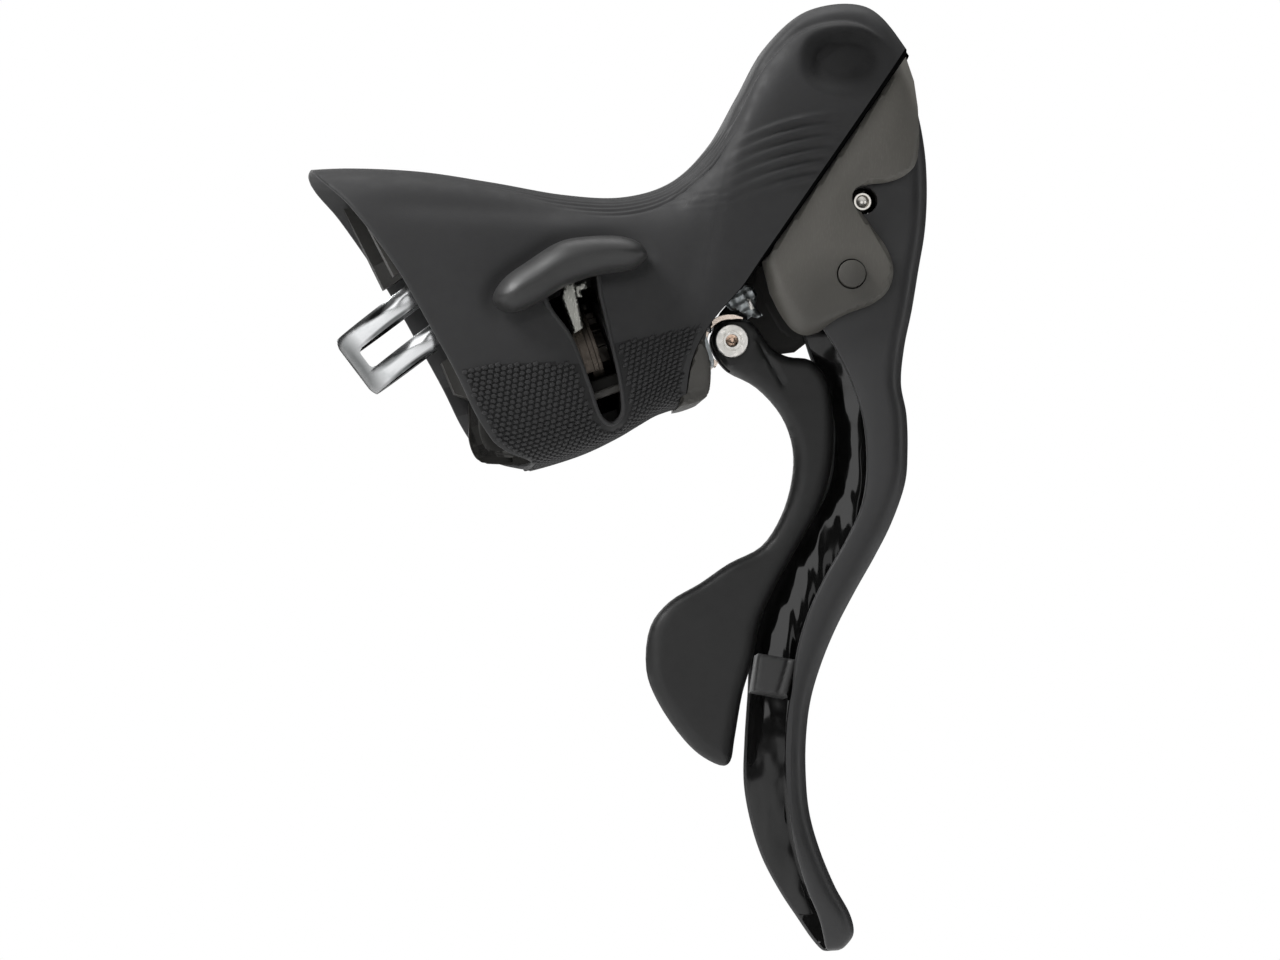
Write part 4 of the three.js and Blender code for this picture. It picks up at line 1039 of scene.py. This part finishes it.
def cheeks(looks):
    """Both cheeks, and the skirt behind the outboard one."""

    def outer(p, distance):
        return form_half(p, FACE_INSET + 0.9) - round_over(distance, 1.2)

    def inner(p, distance):
        return CHEEK_SLOT + 0.1 + round_over(distance, 0.4)

    # The outboard cheek's back and walls, and the skirt, take the darkened copy: painted shade.
    light, dark = looks["composite"], looks["composite_shaded"]
    inboard = cheek("cheek_inboard", -1, [light])
    outboard = cheek("cheek_outboard", 1, [light, dark])
    skirt = relief("cheek_skirt", SKIRT_OUTLINE, outer, inner, [dark], step=0.8)
    return inboard, outboard, cut(skirt, rod(PIVOT, 2.75, -30, 30))


def gap_shade_bead(looks):
    """A near-black bead of painted shade that fills the gap between the hood's front edge and the cheeks.
    """
    outline = [[62.6, 11.8], [90.1, 51.0], [90.8, 50.0], [90.2, 48.6], [64.6, 12.0]]
    bead = form_relief("cheek_gap_shade", outline, 1.6, 0.0, 0.3, looks["joint"], 0.6)
    return cut(bead, slab([[60, 10], [87.6, 47.4], [96, 40], [90, 10]], -7.9, 7.9))


def heel_and_lip(looks):
    """The two ends of the housing that show past the hood's rear and front edges."""
    # The heel takes the near-black copy of the composite: painted shade.
    heel = form_relief("housing_heel", HEEL_OUTLINE, 0.9, 0.0, 2.0, looks["heel"], 0.7)
    hollow = [[8, -14], [19, -14], [19, -24.2], [13.2, -24.2], [12.2, -19]]
    cut(heel, bar_space(BAR["radius"]), slab(hollow, -13, 11))
    lip = form_relief("housing_lip", LIP_OUTLINE, 0.3, 9.8, 0.7, looks["lip"], 0.7)
    cut(lip, slab([[40, -13.2], [60, -13.2], [60, 4], [40, 4]], -9.2, 9.2))
    return heel, lip


# ------------------------------------------------------------------ clamp
CLAMP = {"inner": 12.3, "thickness": 1.1, "width": 12.2, "neck": 9.0, "leg_end": 19.5}


def make_band(looks):
    """The bright strap: a rounded strip bent round the bar, with a window and narrower legs."""
    inner, outer = CLAMP["inner"], CLAMP["inner"] + CLAMP["thickness"]
    half, edge = CLAMP["width"] / 2, 0.22
    leg = np.linspace(CLAMP["leg_end"], 1.0, 12)
    # The strap's line in the bar's own frame: where each section starts, and the way it faces.
    line = [((n, 0.0), math.pi / 2) for n in leg]
    line += [((0.0, 0.0), a) for a in np.linspace(math.pi / 2, 3 * math.pi / 2, 72)]
    line += [((n, 0.0), 3 * math.pi / 2) for n in leg[::-1]]
    # The outer face falls off towards the strap's edges, and towards the window where there is one.
    rolled = 1.9
    across = np.linspace(-half, half, 61)
    outward = 0.55 * np.clip((np.abs(across) - half + rolled) / rolled, 0, 1) ** 2
    inward = 0.5 * np.clip((3.9 - np.abs(across)) / rolled, 0, 1) ** 2
    rings = []
    for base, turn in line:
        way = np.array([math.cos(turn), math.sin(turn)])
        at_window = step_up((base + inner * way)[0], -12.0, -10.6)
        face = zip(outer - outward - at_window * inward, across)
        ring = []
        for r, t in [*face, [inner, half - edge], [inner, edge - half]]:
            n, y = base + r * way
            x, z = from_bar(n, t)
            ring.append([x, y, z])
        rings.append(ring)
    band = lofted("clamp_strap", rings, [looks["chrome"]], sharp=28)
    corner = [[-11.4, 1.3], [-11.2, 1.8], [-10.6, 2.1], [9, 2.1]]
    window = [[n, -t] for n, t in corner] + corner[::-1]
    cutters = [bar_slab(window, -20, 20)]
    neck = CLAMP["neck"] / 2
    for s in (1, -1):
        cutters.append(bar_slab([[2, s * 9], [2, s * neck], [30, s * neck], [30, s * 9]], -20, 20))
    cut(band, *cutters, rod(from_bar(17, 0), 3.3, -20, 20), sharp=28)
    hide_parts("clamp_band")
    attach(band, "housing")


# ------------------------------------------------------------------ brake blade
# Each row: the front edge [x, z], the outboard wall's rear edge [x, z], how far back the inboard wall
# reaches as a share of that depth, the half width, the front wall's thickness and the sweep outboard.
BLADE_ROWS = [
    [90.0, 45.2, 88.1, 44.4, 1.0, 6.0, 0.8, 0],
    [92.1, 39.8, 84.7, 37.6, 1.0, 7.2, 2.2, 0],
    [93.5, 32.4, 79.9, 31.0, 1.0, 7.5, 2.4, 0],
    [93.9, 25.0, 74.5, 24.4, 1.0, 7.5, 2.4, 0],
    [93.5, 17.6, 71.2, 17.6, 1.0, 7.5, 2.4, 0],
    [92.3, 10.4, 70.9, 10.0, 1.0, 7.5, 2.4, 0],
    [91.1, 3.2, 71.4, 2.2, 0.94, 7.5, 2.3, 0],
    [89.7, -3.6, 73.0, -4.2, 0.8, 7.5, 2.2, 0],
    [89.1, -10.2, 75.6, -10.6, 0.71, 7.4, 2.2, 0],
    [90.1, -16.0, 77.2, -17.0, 0.67, 7.4, 2.2, 0],
    [90.3, -22.6, 77.2, -22.8, 0.62, 7.4, 2.2, 0.1],
    [89.8, -28.6, 76.6, -27.4, 0.58, 7.3, 2.2, 0.2],
    [87.4, -35.6, 75.0, -31.6, 0.51, 7.2, 2.2, 0.4],
    [84.3, -41.8, 71.6, -36.8, 0.47, 7.2, 2.2, 0.6],
    [80.7, -48.2, 67.8, -43.4, 0.47, 7.2, 2.2, 0.9],
    [77.3, -54.8, 64.6, -50.6, 0.46, 7.2, 2.2, 1.3],
    [74.6, -61.4, 62.4, -58.4, 0.42, 7.2, 2.2, 1.7],
    [72.7, -68.0, 61.9, -66.6, 0.37, 7.2, 2.2, 2.1],
    [71.9, -74.8, 61.4, -74.8, 0.35, 7.2, 2.2, 2.5],
    [71.9, -81.6, 61.3, -82.4, 0.36, 7.2, 2.2, 3.0],
    [72.6, -88.4, 62.5, -89.4, 0.4, 7.1, 2.2, 3.5],
    [74.5, -95.0, 64.7, -96.2, 0.49, 6.9, 2.2, 4.0],
    [77.3, -101.6, 68.0, -102.4, 0.6, 6.6, 2.2, 4.5],
    [80.1, -106.6, 71.3, -107.4, 0.7, 6.0, 2.4, 4.9],
    [80.9, -110.2, 73.6, -110.9, 0.8, 4.8, 2.8, 5.2],
    [79.4, -112.6, 75.4, -113.1, 0.9, 3.0, 3.0, 5.4],
    [78.2, -113.3, 76.6, -113.4, 0.95, 1.0, 1.2, 5.4],
]
BLADE_WALL = 1.8
BLADE_OUTER, BLADE_INNER = 27, 19


def blade_nose(start, reach, half, count):
    """The front of a blade section: [depth, y] points round it, from -half to +half."""
    turn = np.linspace(-0.5, 0.5, count) * math.pi

    def bulge(value):
        return np.sign(value) * np.abs(value) ** 0.8

    return np.stack([start + reach * (1 - bulge(np.cos(turn))), half * bulge(np.sin(turn))], -1)


def blade_section(row):
    """One section as [x, y, z] points: the outside, the outboard wall's rear edge, the channel
    and the inboard wall's rear edge."""
    front_x, front_z, rear_x, rear_z, inboard, half, front, sweep = row
    depth = math.hypot(rear_x - front_x, rear_z - front_z)
    back = [(rear_x - front_x) / depth, (rear_z - front_z) / depth]
    nose = min(4.2, 0.45 * depth)
    wall = min(BLADE_WALL, 0.45 * half)
    inner = min(front, 0.8 * depth)
    reach = max(0.2, min(nose - 1, 0.9 * inboard * depth - inner))
    lip = min(0.45, 0.3 * wall)
    near = inboard * depth
    outline = [
        *blade_nose(0, nose, half, BLADE_OUTER),
        [depth - lip, half], [depth - 0.3 * lip, half - 0.3 * lip], [depth, half - lip],
        [depth, half - wall + lip], [depth - lip, half - wall],
        *blade_nose(inner, reach, half - wall, BLADE_INNER)[::-1],
        [near - lip, wall - half], [near, wall - half - lip],
        [near, lip - half], [near - 0.3 * lip, 0.3 * lip - half], [near - lip, -half],
    ]
    return [[front_x + p * back[0], y + sweep, front_z + p * back[1]] for p, y in outline]


def make_blade(looks):
    """The channel-section blade: a loft down its length, with bosses and bores for the three pins."""
    rings = [blade_section(row) for row in catmull(BLADE_ROWS, np.linspace(0, 1, 260))]
    # Only the channel's own faces are glossy.
    slots = [0] * (BLADE_OUTER + 4) + [1] * (BLADE_INNER + 1) + [0] * 5
    blade = lofted("blade", rings, [looks["satin"], looks["gloss"]], slots, sharp=50)
    for at, radius in ((PIVOT, 6.0), (ANCHOR, 5.0), (RELEASE, 4.2)):
        joined(blade, rod(at, radius, 4.2, 7.4), rod(at, radius, -7.4, -4.2), sharp=50)
    cut(blade, rod(PIVOT, 4.2, -20, 20), rod(ANCHOR, 3.3, -20, 20), rod(RELEASE, 2.5, -20, 20), sharp=50)
    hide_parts("brake_blade")
    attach(blade, "brake_lever")


BUMPER_OUTLINE = [[62.9, -59.6], [70.0, -60.8], [68.2, -67.6], [61.9, -66.4]]


def make_bumper(looks):
    """The block in the lower half of the channel, with a crease near its front."""

    def near(p, distance):
        crease = 0.4 * bell(p[:, 0] - 67.6 - 0.3 * (p[:, 1] + 63), 0, 0.4)
        return -3.2 + round_over(distance, 0.7) + crease

    def far(p, distance):
        return 6.9 - round_over(distance, 0.7)

    bumper = relief("channel_bumper", BUMPER_OUTLINE, near, far, [looks["bumper"]], step=0.35)
    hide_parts("blade_bumper")
    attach(bumper, "brake_lever")


# ------------------------------------------------------------------ shift paddle and carrier
PADDLE_OUTLINE = smooth_line(
    [
        [55.4, 0.0], [58.0, 1.2], [61.4, 0.8], [65.6, -4.0], [68.4, -5.4], [72.5, -6.0],
        [75.4, -9.2], [76.6, -15.0], [76.6, -24.0], [74.6, -32.0], [70.6, -39.4], [66.4, -46.8],
        [63.4, -53.4], [62.2, -59.6], [61.2, -63.2], [60.1, -67.0], [58.7, -75.0], [57.9, -79.2],
        [56.8, -80.0], [53.1, -78.5], [49.6, -75.4], [44.6, -68.2], [42.6, -62.6], [43.4, -54.6],
        [46.8, -50.2], [52.4, -46.8], [57.6, -43.2], [63.6, -40.0], [67.2, -34.6], [69.2, -28.0],
        [69.4, -22.0], [67.4, -16.2], [62.8, -11.0], [57.6, -8.0], [55.0, -4.6], [54.4, -2.2],
    ],
    per_span=4,
    closed=True,
)


PADDLE_CREASE = smooth_line([[62.6, -2.2], [64.2, -5.2], [66.0, -8.0], [67.4, -10.6]])


def paddle_half(p, distance):
    """Half the paddle's thickness: a boss at the pin, then an arm, then a thinner blade."""
    from_pin = np.linalg.norm(p - np.array(PADDLE_PIN), axis=1)
    boss = 1.25 * (1 - step_up(from_pin, 4.4, 7.2))
    blade = 0.5 * step_up(-p[:, 1], 44, 62)
    edge = 2.0 + 0.6 * step_up(-p[:, 1], 10, 30) - 1.0 * (1 - step_up(from_pin, 4.2, 6.5))
    crease = 0.6 * bell(off_line(p, PADDLE_CREASE, closed=False), 0, 0.32)
    return 2.85 + boss - blade - 0.85 * round_over(distance, edge) - crease


def make_paddle(looks):
    """The shift paddle, slotted at its pin for the carrier's tongue."""
    paddle = mirrored("paddle", PADDLE_OUTLINE, paddle_half, looks["paddle"], 0.6)
    cut(paddle, rod(PADDLE_PIN, 5.3, -1.6, 1.6), rod(PADDLE_PIN, 1.8, -20, 20))
    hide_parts("upshift_paddle")
    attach(paddle, "paddle")


def make_screw(looks):
    """The paddle's shouldered screw: a broad disc with a turned ring and a round recess."""
    head = [
        [1.5, 7.0], [1.5, -4.55], [2.85, -4.55], [3.0, -4.7], [3.0, -5.14], [2.86, -5.3], [1.86, -5.3],
        [1.8, -5.12], [1.66, -5.12], [1.6, -5.26], [1.3, -5.26],
    ]
    middle = [PADDLE_PIN[0], 0, PADDLE_PIN[1]]
    screw = turned(head, middle, [0, 1, 0], 72, "screw", [looks["polished"]], 30)
    cut(screw, rod(PADDLE_PIN, 1.2, -8, -4.5, sides=24), sharp=30)
    cup = [[1.15, -4.45], [1.15, -4.75], [0.85, -4.6], [0.5, -4.75], [0.3, -4.62]]
    merged(screw, turned(cup, middle, [0, 1, 0], 36, "screw_cup", [looks["copper"]]))
    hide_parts("paddle_screw")
    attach(screw, "carrier")


def make_release_pin(looks):
    """The release pin: a stepped pin whose near end is cupped and stands in a dark bore."""
    profile = [
        [2.0, 9.6], [2.2, 9.4], [2.2, -2.8], [1.75, -3.1], [1.75, -3.9], [1.6, -4.0], [1.6, -4.2],
        [1.75, -4.3], [1.75, -4.9], [1.55, -5.15], [1.2, -5.15], [1.0, -4.6], [0.5, -4.4],
    ]
    middle = [RELEASE[0], 0, RELEASE[1]]
    pin = turned(profile, middle, [0, 1, 0], 64, "release_pin_turned", [looks["bright"]], 30)
    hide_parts("release_pin")
    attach(pin, "release_pin")


CASTING_OUTLINE = [
    shaft_spot(18.6, 9.0), [56.4, 7.6], [59.4, 8.2], [62.0, 7.4], [62.8, 6.0], [62.5, 3.6],
    [63.9, 2.2], [63.0, 1.7], [61.9, 2.0], [61.1, 1.4], [59.8, 2.5], [58.0, 3.2],
    [56.0, 5.0], [54.6, 4.2], shaft_spot(18.6, 3.0),
]


def make_carrier(looks):
    """The cast carrier's front end, and the folded steel strip that holds the paddle's pin."""

    def lump(p, distance):
        rough = 0.16 * np.sin(2.1 * p[:, 0] + 1.3 * p[:, 1]) + 0.1 * np.sin(3.7 * p[:, 1] - 1.9 * p[:, 0])
        return 1.1 + rough - round_over(distance, 0.6)

    zinc, steel = looks["zinc"], looks["strip"]
    casting = mirrored("carrier_casting", CASTING_OUTLINE, lump, zinc, 0.4)
    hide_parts("shift_carrier")
    flange = [[3.0, 18.1], [9.4, 18.1], [9.6, 18.3], [9.6, 18.7], [9.4, 18.9], [3.0, 18.9]]
    disc = turned(flange, shaft_point(0, 0, 0), SHAFT_AXIS, 48, "carrier_plate", [zinc])
    kept = [shaft_spot(u, v) for u, v in ((17, -10.4), (20, -10.4), (20, 5), (17, 5))]
    combine(disc, [slab(kept, -4.4, 4.4)], "INTERSECT")
    cut(disc, shaft_bore(2.9, 10, 25))
    strip = sector_strip("carrier_strip", 4.15, 5.22, 62, 240, 1.15, steel)
    outline = [[51.0, -9.2], [53.6, -8.6], [55.0, -7.2], [54.3, -6.6], [53.0, -7.2], [51.0, -7.6]]
    arm = plate("carrier_arm", outline, -1.1, 1.1, steel, 0.2, 0.2)
    outline = [[60.9, 5.0], [61.6, 5.1], [62.2, 3.3], [61.5, 3.0]]
    tab = plate("carrier_tab", outline, -1.75, -0.6, looks["polished"], 0.1)
    for part in (casting, disc, strip, arm, tab):
        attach(part, "carrier")


def sector_strip(name, inner, outer, start, end, half, look):
    """A strip bent round the paddle's pin, from one angle to another in degrees."""
    edge = 0.12
    section = [
        [inner, -half + edge], [inner + edge, -half], [outer - edge, -half], [outer, -half + edge],
        [outer, half - edge], [outer - edge, half], [inner + edge, half], [inner, half - edge],
    ]
    x, z = PADDLE_PIN
    ways = [(math.cos(a), math.sin(a)) for a in np.radians(np.linspace(start, end, 60))]
    rings = [[[x + r * c, y, z + r * s] for r, y in section] for c, s in ways]
    return lofted(name, rings, [look])


# ------------------------------------------------------------------ thumb lever
PAD_OUTLINE = smooth_line(
    [
        [13.2, 3.5], [14.9, 6.6], [19.7, 10.2], [25.0, 13.5], [29.8, 14.5], [36.8, 14.5],
        [39.9, 13.2], [41.0, 11.2], [39.1, 9.2], [32.3, 7.8], [26.8, 5.9], [21.4, 2.6],
        [16.8, 0.8], [13.9, 1.8],
    ],
    closed=True,
)


def make_pad(looks):
    """The thumb lever's grip: a wing with a rounded crest, whose back follows the hood."""
    pad = plate("thumb_pad", PAD_OUTLINE, -25.45, -9.0, looks["pad"], 5.2, step=0.5)
    cut(pad, form_solid(-0.6), sharp=60)
    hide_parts("thumb_lever_pad")
    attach(pad, "thumb_lever")


# Each fitting: its outline, its near and far faces along Y, its look and the body it moves with.
SLOT_FITTINGS = {
    "arm_stop": [
        [[26.0, 4.4], [26.6, 6.6], [28.4, 7.0], [30.0, -1.4], [28.4, -2.4]],
        -13.6, -9.7, "brushed", "thumb_lever",
    ],
    "arm_hook": [
        [[28.3, 6.4], [30.5, 7.0], [30.7, 5.8], [29.6, 5.4], [29.8, 4.2], [28.5, 4.2]],
        -13.2, -12.2, "brushed", "thumb_lever",
    ],
    "slot_ledge": [
        [[30.6, -15.0], [38.0, -12.3], [38.4, -10.7], [31.2, -13.4]],
        -12.4, -9.2, "lip", "housing",
    ],
    # The slot's wall takes the heel's near-black look: painted shade.
    "slot_wall": [
        [[31.5, -11.0], [36.8, -9.2], [38.2, -12.0], [31.0, -14.4]],
        -11.9, -11.1, "heel", "housing",
    ],
}


def make_slot_fittings(looks):
    """What shows through the thumb lever's slot: the arm's rim and stops, and a ledge below."""
    for name, (outline, near, far, look, body) in SLOT_FITTINGS.items():
        fitting = plate(name, outline, near, far, looks[look], 0.25)
        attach(fitting, body)
    section = [
        [10.25, -5.0], [10.55, -4.9], [10.55, -4.6], [10.42, -4.5], [10.42, -3.0],
        [10.5, -2.9], [10.5, -2.1], [10.65, -2.0], [10.65, -1.5], [10.25, -1.4],
    ]
    ways = [(math.cos(a), math.sin(a)) for a in np.radians(np.linspace(-23, 40, 50))]
    rings = [[shaft_point(u, -r * c, r * s) for r, u in section] for c, s in ways]
    rim = lofted("arm_rim", rings, [looks["bronze"]])
    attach(rim, "thumb_lever")


# ------------------------------------------------------------------ small hardware
def dress(node, look, body, edge=0.12, sharp=32):
    """A finer copy of a small CAD piece: its corners broken and its round faces smooth."""
    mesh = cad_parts[node].data.copy()
    work = bmesh.new()
    work.from_mesh(mesh)
    bmesh.ops.remove_doubles(work, verts=work.verts, dist=1e-6)
    bmesh.ops.dissolve_limit(work, angle_limit=math.radians(1), verts=work.verts, edges=work.edges)
    if edge:
        corners = [e for e in work.edges if e.is_manifold and e.calc_face_angle(0) > math.radians(40)]
        rounding = {"offset": edge * MM, "segments": 2, "profile": 0.5, "affect": "EDGES"}
        bmesh.ops.bevel(work, geom=corners, clamp_overlap=True, **rounding)
    work.to_mesh(mesh)
    work.free()
    mesh.materials.clear()
    mesh.materials.append(look)
    piece = bpy.data.objects.new(node + "_fine", mesh)
    bpy.context.scene.collection.objects.link(piece)
    shade(piece, sharp)
    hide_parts(node)
    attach(piece, body)
    return piece


def make_hardware(looks):
    """The small pieces that keep the CAD's own shapes."""
    for node, look, slot, body in (
        ("clamp_barrel_nut", "steel", "steel", "housing"),
        ("clamp_bolt", "steel", "steel", "housing"),
        ("brake_housing_stop", "alloy", "bright_alloy", "housing"),
        ("shift_housing_stop", "alloy", "bright_alloy", "housing"),
        ("pivot_pin", "cap", "dark_composite_cap", "housing"),
        ("shift_shaft", "steel", "steel", "housing"),
        ("shaft_circlip", "spring", "spring_steel", "housing"),
        ("rear_bearing", "steel", "steel", "housing"),
        ("front_bearing", "steel", "steel", "housing"),
        ("mechanism_support", "zinc", "cast_alloy", "housing"),
        ("index_spring_carrier", "bush", "bush_plastic", "housing"),
        ("pivot_bush_inboard", "bush", "bush_plastic", "brake_lever"),
        ("pivot_bush_outboard", "bush", "bush_plastic", "brake_lever"),
        ("cable_anchor", "steel", "steel", "cable_anchor"),
        ("paddle_screw_nut", "steel", "steel", "carrier"),
        ("pawl_pin", "bright", "steel", "thumb_lever"),
        ("thumb_pawl", "bright", "steel", "pawl"),
        ("drum_ratchet", "dark_steel", "steel", "drum"),
        ("cable_drum", "paddle", "black_plastic", "drum"),
        ("index_gear", "bronze", "steel", "drum"),
    ):
        dress(node, looks[look], body)
    # The thumb lever's arm: its ring round the shaft; the stop above takes it on to the pad.
    arm = dress("thumb_lever_arm", looks["bronze"], "thumb_lever", edge=0)
    combine(arm, [shaft_bore(10.2, -6, 0)], "INTERSECT")
    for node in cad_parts:
        if "spring" in node and node != "index_spring_carrier":
            body = "carrier" if node == "paddle_return_spring" else "housing"
            dress(node, looks["spring"], body, edge=0, sharp=75)


# ------------------------------------------------------------------ stage, light and camera
VIEW = {"azimuth": math.radians(-5), "elevation": math.radians(-4)}
VIEW_DISTANCE = 2.0
VIEW_WIDTH = 0.2327  # of what the frame takes in at the object
AIM = {"right": 0.0413, "up": -0.0282}  # the frame's middle, along the camera's right and up


def camera_axes():
    a, e = VIEW["azimuth"], VIEW["elevation"]
    right = Vector((math.cos(a), math.sin(a), 0))
    forward = Vector((-math.sin(a) * math.cos(e), math.cos(a) * math.cos(e), -math.sin(e)))
    return right, forward, right.cross(forward)


def make_camera():
    right, forward, up = camera_axes()
    lens = bpy.data.cameras.new("camera")
    lens.lens = lens.sensor_width * VIEW_DISTANCE / VIEW_WIDTH
    lens.clip_start, lens.clip_end = 0.1, 60
    camera = bpy.data.objects.new("camera", lens)
    camera.location = AIM["right"] * right + AIM["up"] * up - VIEW_DISTANCE * forward
    camera.rotation_euler = forward.to_track_quat("-Z", "Y").to_euler()
    bpy.context.scene.collection.objects.link(camera)
    bpy.context.scene.camera = camera


def show_apart(tree, shown, otherwise, output):
    """Gives the camera one shader to see, and everything else another one."""
    blend = tree.nodes.new("ShaderNodeMixShader")
    seen = tree.nodes.new("ShaderNodeLightPath").outputs["Is Camera Ray"]
    tree.links.new(seen, blend.inputs[0])
    tree.links.new(otherwise.outputs[0], blend.inputs[1])
    tree.links.new(shown.outputs[0], blend.inputs[2])
    tree.links.new(blend.outputs[0], tree.nodes[output].inputs["Surface"])


def make_stage():
    """A wide pale floor below the held lever, and a white surround that lights it faintly."""
    floor_z, floor_radius, sides = -260.0, 9000.0, 64
    pale = Look("floor_paper", (0.86, 0.86, 0.86), 0.9).cloudy(3, 0.01)
    glow = pale.node("ShaderNodeEmission")
    glow.inputs["Strength"].default_value = 1.0
    show_apart(pale.tree, glow, pale.shader, "Material Output")
    points = [[floor_radius * math.cos(t), floor_radius * math.sin(t), floor_z] for t in round_turns(sides)]
    floor = make("floor", points, [range(sides)], [pale.material])
    world = bpy.data.worlds.new("surround")
    bpy.context.scene.world = world
    world.use_nodes = True
    nodes = world.node_tree.nodes
    backdrop, dim = nodes["Background"], nodes.new("ShaderNodeBackground")
    for light, strength in ((backdrop, 1.0), (dim, 0.06)):
        light.inputs["Color"].default_value = (1, 1, 1, 1)
        light.inputs["Strength"].default_value = strength
    show_apart(world.node_tree, backdrop, dim, "World Output")


# Each softbox: where it stands, its two sizes and its watts. All face the middle of the lever.
SOFTBOXES = {
    "key": [(-1.1, -0.5, 1.25), (0.7, 0.7), 30],
    "fill": [(-0.8, -1.7, 0.4), (1.0, 1.0), 5],
    "front": [(0.5, -2.6, 0.35), (1.2, 1.0), 3.4],
    "top": [(0.1, 0.3, 1.3), (1.0, 0.6), 6],
    "rim": [(1.1, 0.0, 0.1), (0.25, 0.8), 1.0],
    "back": [(-0.4, 1.3, 0.4), (0.9, 0.8), 4],
}


def make_lights():
    middle = Vector((0.04, 0.0, -0.03))
    for name, (place, size, watts) in SOFTBOXES.items():
        lamp = bpy.data.lights.new(name, "AREA")
        lamp.shape = "RECTANGLE"
        lamp.size, lamp.size_y = size
        lamp.energy = watts
        holder = bpy.data.objects.new(name, lamp)
        holder.location = place
        holder.rotation_euler = (middle - Vector(place)).to_track_quat("-Z", "Y").to_euler()
        bpy.context.scene.collection.objects.link(holder)
    bpy.context.scene.view_settings.view_transform = "Standard"


# ------------------------------------------------------------------ assembly
make_camera()
make_stage()
make_lights()
LOOKS = make_looks()
for make_part in (
    make_hood, make_housing, make_band, make_blade, make_bumper, make_paddle, make_screw,
    make_release_pin, make_carrier, make_pad, make_slot_fittings, make_hardware,
):
    make_part(LOOKS)
